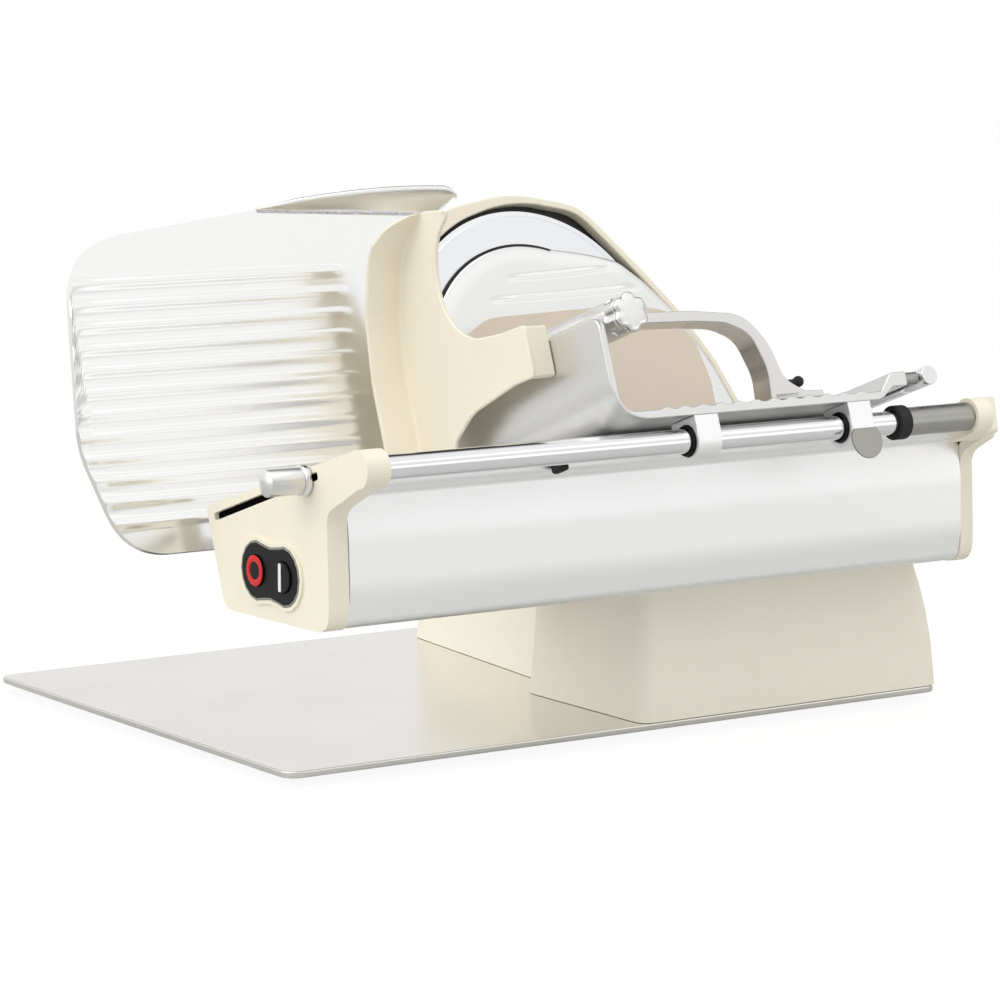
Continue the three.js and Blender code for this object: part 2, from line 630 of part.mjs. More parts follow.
// Blade with its shaft, two bearings and the belt pulley
const bladeStepsCount = 64;
const bladeFront = -0.4;
const bladeFlatBack = 1.6;
const bladeBevelWidth = 9;
const bladeEdgeWidth = 1;
const bladeHubRadius = 20;
const bladeHubBack = 4;
const bladeBore = shaftRadius + seatGap;
const bladeGroup = new THREE.Group();
bladeGroup.position.set(bladeX, 0, 0);
cutting.add(bladeGroup);
add(bladeGroup, 'slicing_blade', 'blade', turned('y', [
  [bladeBore, bladeFront], [bladeRadius - bladeEdgeWidth, bladeFront], [bladeRadius, bladeFront / 2],
  [bladeRadius - bladeBevelWidth, bladeFlatBack], [bladeHubRadius, bladeFlatBack],
  [bladeHubRadius, bladeHubBack],
  [bladeBore, bladeHubBack], [bladeBore, bladeFront],
], bladeStepsCount, [0, 0, 0]));
const shaftBack = 35;
add(bladeGroup, 'blade_shaft', 'steel', rod('y', shaftRadius, bladeFront, shaftBack, [0, 0, 0]));
const bearingWidth = 6;
const bearingFront = 8;
['front', 'rear'].forEach((place, i) => {
  const from = bearingFront + i * (bearingWidth + seatGap);
  add(cutting, `bearing_${place}`, 'steel',
    tube('y', shaftRadius + seatGap, bearingOuter, from, from + bearingWidth, [bladeX, 0, 0]));
});
const bladePulleyRadius = 38;
const motorPulleyRadius = 13;
const pulleyFront = 22;
const pulleyBack = 34;
const pulleyFlange = 1.5;
const pulleyStepsCount = 32;
const beltThickness = 2.2;
function pulley(radius, bore, stepsCount) {
  const flange = radius + beltThickness;
  return turned('y', [
    [bore, pulleyFront], [flange, pulleyFront], [flange, pulleyFront + pulleyFlange],
    [radius, pulleyFront + pulleyFlange], [radius, pulleyBack - pulleyFlange],
    [flange, pulleyBack - pulleyFlange], [flange, pulleyBack], [bore, pulleyBack], [bore, pulleyFront],
  ], stepsCount, [0, 0, 0]);
}
add(bladeGroup, 'blade_pulley', 'satinAluminium',
  pulley(bladePulleyRadius, shaftRadius + seatGap, pulleyStepsCount));

// Motor with its shaft and pulley, and the flat belt to the blade
const motorGroup = new THREE.Group();
motorGroup.position.set(motorX, 0, -motorBelow);
cutting.add(motorGroup);
const motorEdge = 4;
const motorNoseRadius = 16;
add(cutting, 'drive_motor', 'motor', turned('y', [
  [motorShaftHole / 2, motorFront], [motorNoseRadius, motorFront], [motorNoseRadius, motorFront + motorEdge],
  [motorRadius - motorEdge, motorFront + motorEdge], [motorRadius, motorFront + 2 * motorEdge],
  [motorRadius, motorFront + motorLength - motorEdge], [motorRadius - motorEdge, motorFront + motorLength],
  [0, motorFront + motorLength], [0, motorFront + motorLength / 2],
  [motorShaftHole / 2, motorFront + motorLength / 2],
  [motorShaftHole / 2, motorFront],
], roundStepsCount, [motorX, 0, -motorBelow]));
const motorShaftBack = motorFront + motorLength / 2 - seatGap;
add(motorGroup, 'motor_shaft', 'steel',
  rod('y', motorShaftRadius, pulleyFront, motorShaftBack, [0, 0, 0]));
add(motorGroup, 'motor_pulley', 'satinAluminium',
  pulley(motorPulleyRadius, motorShaftRadius + seatGap, roundStepsCount));
function beltOutline(offset) {
  const span = new THREE.Vector2(motorX - bladeX, -motorBelow);
  const lean = Math.atan2(span.y, span.x);
  const wrap = Math.acos((bladePulleyRadius - motorPulleyRadius) / span.length());
  const arcStepsCount = 14;
  const arc = (x, z, radius, from, to) => Array.from({ length: arcStepsCount + 1 }, (_, i) => {
    const angle = lean + from + ((to - from) * i) / arcStepsCount;
    return new THREE.Vector2(x + radius * Math.cos(angle), z + radius * Math.sin(angle));
  });
  return [
    ...arc(bladeX, 0, bladePulleyRadius + offset, wrap, 2 * Math.PI - wrap),
    ...arc(motorX, -motorBelow, motorPulleyRadius + offset, -wrap, wrap),
  ];
}
add(cutting, 'drive_belt', 'rubber', prism('y', beltOutline(beltThickness),
  pulleyFront + pulleyFlange + seatGap, pulleyBack - pulleyFlange - seatGap, [beltOutline(seatGap)]));

// Motor hump: the shell over the motor behind the blade body
const humpCorner = 26;
const humpFront = rearCoverBack + seatGap;
const humpOutline = roundedOutline([
  [motorX - humpHalfWidth, -bladeZ], [motorX + humpHalfWidth, -bladeZ],
  [motorX + humpHalfWidth, humpTop, humpCorner], [motorX - humpHalfWidth, humpTop, humpCorner],
]);
add(cutting, 'motor_hump', 'cream', cut(prism('y', humpOutline, humpFront, humpBack),
  prism('y', insetOutline(humpOutline, humpWall), humpFront - overrun, humpBack - humpWall), floorCutter));

// Blade cover: a polished plate over the middle of the blade, drawn out to the right
const coverX = 273.6;
const coverZ = -4.4;
const coverInset = 19.1;          // edge of the blade left bare
const coverRadius = bladeRadius - coverInset;
const coverFront = -3;
const coverBack = -0.8;
const coverArcStart = 70;
const coverArcEnd = 247;
const coverRimGap = 1.2;
const coverStepsCount = 34;
const coverWingShares = [[0.529, 0.684], [0.794, 0.612], [0.957, 0.48]];   // as for the body's right flank
const coverArc = Array.from({ length: coverStepsCount + 1 }, (_, i) => {
  const degrees = coverArcStart + ((coverArcEnd - coverArcStart) * i) / coverStepsCount;
  const angle = THREE.MathUtils.degToRad(degrees);
  return new THREE.Vector2(coverX + coverRadius * Math.cos(angle), coverZ + coverRadius * Math.sin(angle));
});
const coverWing = roundedOutline(cornersFrom(coverWingShares, [bladeX, 0], [bladeRadius, bladeRadius]));
const coverReach = bladeX + cutterSpan;
const coverOutline = [
  ...coverArc, new THREE.Vector2(coverReach, coverArc[coverArc.length - 1].y),
  new THREE.Vector2(coverReach, coverWing[coverWing.length - 1].y), ...coverWing.reverse(),
];
const grooveDepth = 0.7;
const grooveHeight = 5;
const grooveShares = [            // left end, right end and height, from the arc's centre, of its radius
  [-0.21, 0.677, 0.728], [-0.451, 0.943, 0.55],
];
const grooves = grooveShares.map(([left, right, up]) => {
  const z = coverZ + up * coverRadius;
  return prism('y', rectangle(coverX + left * coverRadius, z - grooveHeight / 2,
    coverX + right * coverRadius, z + grooveHeight / 2, grooveHeight / 2),
  coverFront - overrun, coverFront + grooveDepth);
});
add(cutting, 'blade_cover', 'satinAluminium', cut(common(
  prism('y', coverOutline, coverFront, coverBack),
  prism('y', insetOutline(bodyOutline(0), rimWall + coverRimGap), coverFront - overrun, bodyBack),
), ...grooves));

// Tie rod that holds the blade cover, with its knob behind the body
const tieGroup = new THREE.Group();
tieGroup.position.set(tieX, 0, tieZ);
cutting.add(tieGroup);
const tieKnobRadius = 11;
const tieKnobLength = 16;
const tieKnobLobesCount = 8;
const tieKnobLobeShare = 0.08;
const tieKnobFront = rearCoverBack + seatGap;
add(tieGroup, 'cover_tie_rod', 'steel',
  rod('y', tieRadius, coverBack + seatGap, tieKnobFront - seatGap, [0, 0, 0]));
add(tieGroup, 'cover_release_knob', 'black', prism('y',
  lobedOutline(tieKnobRadius, tieKnobLobesCount, tieKnobLobeShare),
  tieKnobFront, tieKnobFront + tieKnobLength));

// Gauge plate with its ribs and the lip that flares towards the operator, and its slide
const gaugeFront = 9;
const gaugeThickness = 4;
const gaugeBack = gaugeFront + gaugeThickness;
const gaugeRibsCount = 12;
const gaugeRibPitch = 13.6;
const gaugeRibTop = 67;
const gaugeRibRise = 1.3;
const gaugeRibHalf = 4.2;
const gaugeRibShares = [-1, -0.6, 0, 0.6, 1];
const gaugeRibEndX = 147;
const gaugeLeft = -56;
const gaugeCreaseLeft = 110;
const lipStartX = 92;
const gaugeTopRight = 102.4;
const gaugeBottom = -103;
const gaugeNeckX = 172;
const gaugeRightX = 225;
const gaugeArcGap = 6;
const gaugeLeftShares = [         // the rounded left side, from the lower left, of the plate's width and height
  [0.035, 0.92, 0.237], [-0.017, 0.322, 0.332], [0.049, 0, 0.19],
];
const gaugeLeftStepsCount = 8;
const gaugeFootX = 168;
const gaugeFootCorner = 12.5;
const lipLap = 0.6;               // lip above the plate's own top edge
const gaugeSpan = [gaugeRightX - gaugeLeft, gaugeCreaseLeft - gaugeBottom];
const gaugePlateOutline = roundedOutline([
  [gaugeRightX, gaugeTopRight - lipLap], [lipStartX, gaugeCreaseLeft - lipLap],
  ...cornersFrom(gaugeLeftShares, [gaugeLeft, gaugeBottom], gaugeSpan),
  [gaugeFootX, gaugeBottom, gaugeFootCorner], [gaugeNeckX, 0], [bladeX, 0],
], gaugeLeftStepsCount);
const ribSection = (z) => gaugeRibShares.map((share) => new THREE.Vector2(
  gaugeFront - gaugeRibRise * (1 - share * share), z + share * gaugeRibHalf))
  .concat([new THREE.Vector2(gaugeFront + gaugeThickness / 2, z + gaugeRibHalf),
    new THREE.Vector2(gaugeFront + gaugeThickness / 2, z - gaugeRibHalf)]);
const gaugeRibs = Array.from({ length: gaugeRibsCount }, (_, i) => prism('x',
  ribSection(gaugeRibTop - i * gaugeRibPitch), gaugeLeft - gaugeRibEndX, gaugeRibEndX));
const lipRise = 12.5;
const lipForward = 14;
const lipThickness = 4;
const lipSeat = 2.5;              // lip below the crease, along the plate
const lipOverhang = 10;           // rounded end beyond the plate
const lipStationsCount = 8;
const lipRiseShares = [0, 0.4, 0.75, 1];
const lipPlace = Array.from({ length: lipStationsCount }, (_, i) => i / (lipStationsCount - 1));
const lipSection = (share) => {
  const bend = Math.sin(share * Math.PI / 2);
  const crease = gaugeCreaseLeft + share * (gaugeTopRight - gaugeCreaseLeft);
  const side = (face, low) => lipRiseShares.map((rise) => new THREE.Vector2(
    face - bend * lipForward * rise * rise, low + rise * (crease + bend * lipRise - low)));
  const front = side(gaugeFront, crease - lipSeat);
  const back = side(gaugeBack, crease);
  const crown = new THREE.Vector2((front[front.length - 1].x + back[back.length - 1].x) / 2,
    crease + lipLap + bend * (lipRise + lipThickness / 4));
  return [...front, crown, ...back.reverse(), new THREE.Vector2(gaugeBack, crease - lipSeat)].reverse();
};
const lipLength = gaugeRightX + lipOverhang - lipStartX - 2 * lipLap;
const lipEndShares = [            // what the rounded end leaves off, of the overhang and the rise
  [-0.1, -0.3], [0.28, 0.28, 0.2], [0.85, 0.5, 0.2], [1, 0.75, 0.2], [0.85, 1, 0.2], [0.4, 1.12, 0.2],
  [0, 1.15], [0, 3], [3, 3], [3, -0.3],
];
const lipEnd = prism('y', roundedOutline(
  cornersFrom(lipEndShares, [gaugeRightX, gaugeTopRight], [lipOverhang, lipRise])),
gaugeFront - lipForward - lipThickness, gaugeBack + overrun);
const lipStations = lipPlace.map((share) => lipStartX + lipLap + share * lipLength);
const lip = cut(loft(lipPlace.map(lipSection), lipStations).applyMatrix4(turnTo.x), lipEnd);
const gaugeSlideFront = -104;
const gaugeGroup = new THREE.Group();
cutting.add(gaugeGroup);
const gaugeArc = rod('y', bodyArcRadius + gaugeArcGap, gaugeFront - overrun, gaugeBack + overrun,
  [bladeX, 0, 0], bladeStepsCount);
const gaugePlate = cut(prism('y', gaugePlateOutline, gaugeFront, gaugeBack), gaugeArc);
const ribbed = join(gaugePlate, ...gaugeRibs.map((rib) => common(rib,
  prism('y', gaugePlateOutline, gaugeFront - gaugeRibRise - overrun, gaugeBack))));
add(gaugeGroup, 'gauge_plate', 'satinAluminium', join(ribbed, lip));
add(gaugeGroup, 'gauge_slide', 'steel', prism('y',
  rectangle(gaugeSlideLeft, gaugeSlideBottom, gaugeSlideRight, gaugeSlideTop),
  gaugeSlideFront, gaugeFront - seatGap));

// Carriage tray: a folded profile with floor ribs and an up-turned far edge
const trayWallX = 184.7;
const trayWallThickness = 4.5;
const trayWallTop = -21.7;
const trayUnder = -86.5;
const trayFloorThickness = 5;
const trayBend = 26;
const trayBendInner = trayBend - trayWallThickness;
const trayFloorEnd = 386;
const trayEdgeX = 408;
const trayEdgeTop = -70;
const trayEdgeThickness = 9;
const trayEdgeRun = 10;
const trayTopSoft = 1;
const trayRibPitch = 13.5;
const trayRibRise = 1.2;
const trayRibHalf = 4.5;
const trayRibInset = 37.3;        // first rib from the tray's wall
const trayRibEndRoom = 12;        // flat floor left before the far edge
const trayRibStart = trayWallX + trayRibInset;
const trayRibRoom = trayFloorEnd - trayRibEndRoom - trayRibStart;
const trayRibsCount = 1 + Math.floor(trayRibRoom / trayRibPitch);
const trayFloorTop = trayUnder + trayFloorThickness;
const trayBack = trayFront + trayLength;
const trayFloorWaves = Array.from({ length: trayRibsCount }, (_, i) => {
  const x = trayRibStart + (trayRibsCount - 1 - i) * trayRibPitch;
  return [[x + trayRibHalf, trayFloorTop], [x + trayRibHalf / 2, trayFloorTop + trayRibRise],
    [x - trayRibHalf / 2, trayFloorTop + trayRibRise], [x - trayRibHalf, trayFloorTop]];
}).flat();
const carriage = new THREE.Group();
cutting.add(carriage);
add(carriage, 'carriage_tray', 'satinAluminium', prism('y', roundedOutline([
  [trayWallX, trayWallTop, trayTopSoft], [trayWallX, trayUnder, trayBend],
  [trayFloorEnd, trayUnder, trayEdgeRun],
  [trayFloorEnd + trayEdgeRun, trayEdgeTop - trayEdgeThickness, trayEdgeRun / 2],
  [trayEdgeX, trayEdgeTop - trayEdgeThickness], [trayEdgeX, trayEdgeTop, trayTopSoft],
  [trayFloorEnd + trayEdgeRun, trayEdgeTop, trayEdgeRun / 2],
  [trayFloorEnd, trayFloorTop, trayEdgeRun / 2], ...trayFloorWaves,
  [trayWallX + trayWallThickness, trayFloorTop, trayBendInner],
  [trayWallX + trayWallThickness, trayWallTop, trayTopSoft],
]), trayFront, trayBack));

// Hand guard: a C-shaped shell on the tray wall with an out-turned rim along its back
const guardFaceX = 167.7;
const guardWall = 3;
const guardRimX = 142;
const guardTipFront = -145.5;
const guardTipTop = -11.9;
const guardTipBottom = -44.6;
const guardTipLength = 7;
const guardLegBottom = -76;
const guardLegFront = -45;
const guardLegBack = -4.6;
const guardLegSoft = 20;
const guardLugTop = -62;
const guardBackShares = [         // the guard's outlines, from the blade's axis, of the blade's radius
  [-0.044, -0.122, 0.612], [-0.107, 0.286, 0.612], [-0.265, 0.653, 0.408],
  [-0.449, 0.806, 0.224], [-0.633, 0.862, 0.143], [-0.776, 0.786, 0.082],
];
const guardInsideShares = [
  [-0.765, 0.612, 0.041], [-0.622, 0.49, 0.143], [-0.582, 0.286, 0.163], [-0.653, 0.082, 0.204],
  [-0.857, -0.041, 0.163], [-1.224, -0.102, 0.204],
];
const guardUnderShares = [[-1.245, -0.449, 0.204], [-0.735, -0.5, 0.265]];
const guardCorners = (shares) => cornersFrom(shares, [0, 0], [bladeRadius, bladeRadius]);
const guardOutline = roundedOutline([
  [guardLegBack, guardLegBottom], ...guardCorners(guardBackShares), ...guardCorners(guardInsideShares),
  [guardTipFront, guardTipTop], [guardTipFront, guardTipBottom], ...guardCorners(guardUnderShares),
  [guardLegFront, guardLugTop, guardLegSoft], [guardLegFront, guardLegBottom],
]);
const guardRimEndShare = -0.592;
const guardRimEndY = guardRimEndShare * bladeRadius;
const guardRimPath = roundedOutline([[guardLegBack, guardLegBottom], ...guardCorners(guardBackShares)])
  .filter((point) => point.x > guardRimEndY);
const guardRimInner = guardRimPath.map((point, i) => {
  const before = guardRimPath[Math.max(i - 1, 0)];
  const after = guardRimPath[Math.min(i + 1, guardRimPath.length - 1)];
  const along = after.clone().sub(before).normalize();
  return new THREE.Vector2(point.x - along.y * guardWall, point.y + along.x * guardWall);
});
const guardRimTaperShare = 0.592;
const guardRimTopShare = 0.847;
const guardRimTaperZ = guardRimTaperShare * bladeRadius;
const guardRimTopZ = guardRimTopShare * bladeRadius;
const guardTaperShares = [        // the rim's outer edge as it runs into the face, of the rim's width
  [0, 0], [0.13, 0.59], [0.28, 0.85], [0.46, 0.95], [1, 1],
];
const guardRimTaper = prism('y', roundedOutline([
  ...cornersFrom(guardTaperShares, [guardRimX, guardRimTaperZ],
    [guardFaceX - guardRimX, guardRimTopZ - guardRimTaperZ]),
  [guardFaceX, cutterSpan], [guardRimX - overrun, cutterSpan], [guardRimX - overrun, guardRimTaperZ],
]), guardTipFront, guardWall);
const guardRim = cut(
  prism('x', [...guardRimPath, ...guardRimInner.reverse()], guardRimX, guardFaceX + guardWall), guardRimTaper);
const guardTip = prism('x',
  rectangle(guardTipFront, guardTipBottom, guardTipFront + guardTipLength, guardTipTop),
  guardFaceX, trayWallX - seatGap);
const guardLugBottom = guardLegBottom + trayBend;
const guardLugDepth = 18;
const guardLug = prism('x',
  rectangle(guardLegFront, guardLugBottom, guardLegFront + guardLugDepth, guardLugTop),
  guardFaceX, trayWallX - seatGap);
add(carriage, 'hand_guard', 'cream', join(
  prism('x', guardOutline, guardFaceX, guardFaceX + guardWall), guardRim, guardTip, guardLug));

// Two brackets that carry the tray on the rail, each with a black bush
const bracketWidth = 17.5;
const bracketOuter = 12.6;
const bushOuter = 9.4;
const bushOverhang = 1.5;
const bracketStartX = [240, 357];
const bracketStepsCount = 24;
const discX = 367.5;
const discRise = 1.2;
const discZ = railZ - bracketOuter + discRise;
const discRadius = 11.5;
const discThickness = 1.6;
const discGap = 0.6;
const discFront = railY - bushOuter - discGap - discThickness;
const discPinRadius = 1.6;
const discPinLength = 8;
bracketStartX.forEach((x, i) => {
  const side = ['left', 'right'][i];
  const right = x + bracketWidth;
  const block = join(
    rod('x', bracketOuter, x, right, [0, railY, railZ], bracketStepsCount),
    prism('x', rectangle(railY - bracketOuter, railZ, railY + bracketOuter, trayUnder - seatGap), x, right));
  const bore = rod('x', bushOuter + seatGap, x - overrun, right + overrun,
    [0, railY, railZ], bracketStepsCount);
  const discSlot = rod('y', discRadius + discGap, discFront - seatGap,
    discFront + discThickness + seatGap, [discX, 0, discZ]);
  const pinHole = rod('y', discPinRadius + seatGap, discFront, discFront + discPinLength, [discX, 0, discZ]);
  add(carriage, `rail_bracket_${side}`, 'paintedAluminium',
    i === 0 ? cut(block, bore) : cut(block, bore, discSlot, pinHole));
  add(carriage, `bracket_bush_${side}`, 'black', tube('x', railRadius + seatGap, bushOuter,
    x - bushOverhang, right + bushOverhang, [0, railY, railZ], bracketStepsCount));
});

// Carriage lock: a steel disc in a slot of the far bracket
const discGroup = new THREE.Group();
discGroup.position.set(discX, 0, discZ);
carriage.add(discGroup);
add(discGroup, 'carriage_lock_disc', 'steel', join(
  rod('y', discRadius, discFront, discFront + discThickness, [0, 0, 0]),
  rod('y', discPinRadius, discFront, discFront + discPinLength - seatGap, [0, 0, 0], buttonStepsCount)));

// Pusher shaft beside the tray, on two spacers
const pusherX = 425;
const pusherZ = -74;
const pusherShaftRadius = 6;
const pusherShaftFront = -200;
const pusherShaftBack = -12;
const spacerRadius = 4;
const spacerInset = 5;
add(carriage, 'pusher_shaft', 'chrome',
  rod('y', pusherShaftRadius, pusherShaftFront, pusherShaftBack, [pusherX, 0, pusherZ]));
for (const [end, y] of [['front', trayFront + spacerInset], ['rear', trayBack - spacerInset]]) {
  add(carriage, `shaft_spacer_${end}`, 'steel', rod('x', spacerRadius, trayEdgeX + seatGap,
    pusherX - pusherShaftRadius - seatGap, [0, y, pusherZ], buttonStepsCount));
}

// Pusher slide bush on the shaft
const slideBushOuter = 8.5;
const slideFront = -100;
const slideLength = 34;
const slideEdge = 1.5;
const pusherSlide = new THREE.Group();
pusherSlide.position.set(pusherX, 0, pusherZ);
carriage.add(pusherSlide);
add(pusherSlide, 'pusher_slide_bush', 'black', tube('y', pusherShaftRadius + seatGap, slideBushOuter,
  slideFront - slideEdge, slideFront + slideLength + slideEdge, [0, 0, 0]));

// Pusher arm: an arch over the tray, a link over the far edge and an eye round the slide bush
const pusherArm = new THREE.Group();
pusherSlide.add(pusherArm);
const handleX = 209;
const handleZ = -21;
const handleRadius = 12;
const handleFront = -196;
const handleBack = -104;
const archFront = -187;
const archBack = -169;
const armGap = 1.2;               // arm above the tray
const linkThickness = 4;
const linkBottom = trayFloorTop + trayRibRise + armGap;
const linkTop = linkBottom + linkThickness;
const eyeOuter = 13;
const archSpan = pusherX - handleX;
const archRise = handleZ - linkBottom;
const archShares = [              // from below the handle's axis, of the arch's span and rise
  [0.046, 1.034], [0.245, 1.017, 0.688], [0.426, 0.948, 0.448], [0.495, 0.604, 0.448], [0.523, 0.225, 0.207],
  [0.588, 0.069, 0.241], [0.653, 0.069], [0.653, 0], [0.468, 0], [0.472, 0.329, 0.344],
  [0.435, 0.742, 0.344], [0.356, 0.871, 0.448], [0.245, 0.905, 0.344], [0.046, 0.923],
];
const archOutline = roundedOutline(cornersFrom(archShares, [handleX, linkBottom], [archSpan, archRise]));
const linkStartShare = 0.477;
const linkKneeShare = 0.588;
const linkStartX = handleX + linkStartShare * archSpan;
const linkKneeX = handleX + linkKneeShare * archSpan;
const linkSweep = 26;
const linkSoft = 20;
const linkStartSoft = 10;
const linkLap = 8;
const linkBackInset = 12;
const riserLeft = trayFloorEnd - trayEdgeRun;
const riserLap = 6;
const riserToe = 5;
const riserSoft = 6;
const bridgeThickness = 7;
const bridgeSoft = 2;
const bridgeBottom = trayEdgeTop + armGap;
const bridgeTop = bridgeBottom + bridgeThickness;
const slideBack = slideFront + slideLength;
const linkPlan = roundedOutline([
  [linkStartX, archFront], [linkKneeX, archFront, linkStartSoft], [riserLeft, slideFront - linkSweep, linkSoft],
  [riserLeft + linkLap, slideFront], [riserLeft + linkLap, slideBack],
  [riserLeft - linkBackInset, slideBack, linkSoft], [linkStartX, archBack, linkStartSoft],
]);
const riser = prism('y', roundedOutline([
  [riserLeft - riserLap, linkBottom], [riserLeft + riserToe, linkBottom],
  [trayFloorEnd + trayEdgeRun - riserLap, bridgeBottom, bridgeSoft], [pusherX, bridgeBottom],
  [pusherX, bridgeTop], [riserLeft + riserLap, bridgeTop, riserSoft], [riserLeft - riserLap, linkTop],
]), slideFront, slideBack);
const eye = rod('y', eyeOuter, slideFront, slideBack, [pusherX, 0, pusherZ]);
const eyeBore = rod('y', slideBushOuter + seatGap, slideFront - overrun, slideBack + overrun,
  [pusherX, 0, pusherZ]);
const handleRoom = rod('y', handleRadius + seatGap, handleFront, handleBack, [handleX, 0, handleZ]);
const armGeometry = cut(join(prism('y', archOutline, archFront, archBack),
  prism('z', linkPlan, linkBottom, linkTop), riser, eye), eyeBore, handleRoom);
add(pusherArm, 'pusher_arm', 'satinAluminium', armGeometry.translate(-pusherX, 0, -pusherZ));

const handleGroup = new THREE.Group();
handleGroup.position.set(handleX - pusherX, 0, handleZ - pusherZ);
pusherArm.add(handleGroup);
const handleEdge = 2;
const neckRadius = 5;
const pusherPlateFront = -30;
const pusherPlateThickness = 4;
add(handleGroup, 'pusher_handle', 'satinAluminium', turned('y', [
  [0, handleFront], [handleRadius - handleEdge, handleFront], [handleRadius, handleFront + handleEdge],
  [handleRadius, handleBack - handleEdge], [handleRadius - handleEdge, handleBack], [neckRadius, handleBack],
  [neckRadius, pusherPlateFront - seatGap], [0, pusherPlateFront - seatGap],
], roundStepsCount, [0, 0, 0]));
const capLobesCount = 6;
const capLobeShare = 0.07;
const handleCapThickness = 4.5;
const handleCapRadius = 12.4;
add(handleGroup, 'handle_end_cap', 'satinAluminium', prism('y',
  lobedOutline(handleCapRadius, capLobesCount, capLobeShare),
  handleFront - seatGap - handleCapThickness, handleFront - seatGap));

// Pusher plate that presses the food, at the end of the handle's neck
const pusherPlateGap = 7.8;        // from the tray's wall
const pusherPlateTop = 24;
const pusherPlateLeft = trayWallX + trayWallThickness + pusherPlateGap;
const pusherPlateShares = [       // from the lower left, of the plate's width and height
  [0, 0.825, 0.155], [0.132, 0.971, 0.291], [0.704, 1, 0.388], [0.884, 0.942, 0.213], [0.968, 0.728, 0.194],
  [1, 0.476, 0.194], [1, 0, 0.029], [0.074, 0, 0.078], [0, 0.185, 0.078],
];
const pusherPlateOutline = roundedOutline(cornersFrom(pusherPlateShares, [pusherPlateLeft, linkBottom],
  [trayFloorEnd - pusherPlateLeft, pusherPlateTop - linkBottom]));
add(pusherArm, 'pusher_plate', 'beige', prism('y', pusherPlateOutline, pusherPlateFront,
  pusherPlateFront + pusherPlateThickness).translate(-pusherX, 0, -pusherZ));

// Rubber stop on a stem beside the arch
const armStopRadius = 3.6;
const armStopReach = 11.5;        // from the arch to the middle of the ball
const armStopAbove = 8;           // above the link
const armStopStem = 1.8;
const armStopStepsCount = 12;
const armStopRingsCount = 8;
const armStopShare = 0.549;
add(pusherArm, 'arm_stop', 'rubber', join(
  new THREE.SphereGeometry(armStopRadius, armStopStepsCount, armStopRingsCount),
  rod('x', armStopStem, -armStopReach, 0, [0, 0, 0], armStopStepsCount),
)).position.set(handleX + armStopShare * archSpan + armStopReach - pusherX, (archFront + archBack) / 2,
  linkTop + armStopAbove - pusherZ);

// The origin is the middle of the footprint, on the surface that the feet stand on.
const middle = new THREE.Box3().setFromObject(machine, true).getCenter(new THREE.Vector3());
machine.position.x -= middle.x;
machine.position.y -= middle.y;

export default machine;
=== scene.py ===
import json
import math

import bmesh
import bpy
import numpy as np
from mathutils import Euler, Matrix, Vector
from mathutils.geometry import tessellate_polygon


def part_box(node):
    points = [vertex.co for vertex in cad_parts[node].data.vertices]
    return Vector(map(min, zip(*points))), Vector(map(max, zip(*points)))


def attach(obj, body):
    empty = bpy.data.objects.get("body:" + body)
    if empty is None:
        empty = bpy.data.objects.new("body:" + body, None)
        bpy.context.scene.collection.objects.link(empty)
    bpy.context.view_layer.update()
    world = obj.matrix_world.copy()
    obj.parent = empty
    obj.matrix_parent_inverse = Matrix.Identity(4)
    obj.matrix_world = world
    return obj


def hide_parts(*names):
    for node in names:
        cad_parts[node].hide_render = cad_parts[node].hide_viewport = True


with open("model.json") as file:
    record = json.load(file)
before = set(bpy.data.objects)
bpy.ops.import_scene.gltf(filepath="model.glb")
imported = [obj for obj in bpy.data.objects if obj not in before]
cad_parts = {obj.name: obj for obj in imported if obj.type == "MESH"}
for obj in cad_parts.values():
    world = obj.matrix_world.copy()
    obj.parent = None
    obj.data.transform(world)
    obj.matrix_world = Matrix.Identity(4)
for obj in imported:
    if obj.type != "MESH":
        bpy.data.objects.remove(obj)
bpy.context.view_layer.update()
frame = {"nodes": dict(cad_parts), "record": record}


# The camera, where the photographer stood: low, to the left of the operator's side, with a long lens.
# Its place is measured from the front left corner of the base plate.
mm = 0.001
lens_length = 144
sensor_width = 36
camera_from_plate = np.array([-1181.1, -1980.8, 496.1]) * mm
camera_down = np.radians(8.15)
camera_turn = np.radians(33.9)
plate_low, plate_high = (np.array(corner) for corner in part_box("base_plate"))
camera_data = bpy.data.cameras.new("camera")
camera_data.lens = lens_length
camera_data.sensor_width = sensor_width
camera = bpy.data.objects.new("camera", camera_data)
camera.location = plate_low + camera_from_plate
camera.rotation_euler = Euler((np.pi / 2 - camera_down, 0, -camera_turn))
bpy.context.collection.objects.link(camera)
bpy.context.scene.camera = camera
bpy.context.scene.view_settings.view_transform = "Standard"


# The studio: a white paper floor under the machine, large soft lamps over and beside it, and a bright
# surround that the metal shows. The floor is paper: matt, so that it keeps the machine's soft shadow.
def from_hex(text):
    """Turns an sRGB colour such as '#efe8d2' to the linear colour that a socket takes."""
    shares = np.array([int(text[i:i + 2], 16) for i in (1, 3, 5)]) / 255
    linear = np.where(shares <= 0.04045, shares / 12.92, ((shares + 0.055) / 1.055) ** 2.4)
    return (*linear.tolist(), 1.0)


def add_node(tree, kind, properties={}, values={}, links={}):
    """Adds a node, sets its properties and its input values, and links inputs to (node, output) pairs."""
    made = tree.nodes.new(kind)
    for name, value in properties.items():
        setattr(made, name, value)
    for name, value in values.items():
        made.inputs[name].default_value = value
    for name, (source, output) in links.items():
        tree.links.new(source.outputs[output], made.inputs[name])
    return made


def new_material(name):
    """Starts a material: its node tree is empty but for the output."""
    material = bpy.data.materials.new(name)
    material.use_nodes = True
    material.node_tree.nodes.clear()
    return material, material.node_tree


floor_size = 14
floor_own_light = 1.1
floor_lift = 0.84


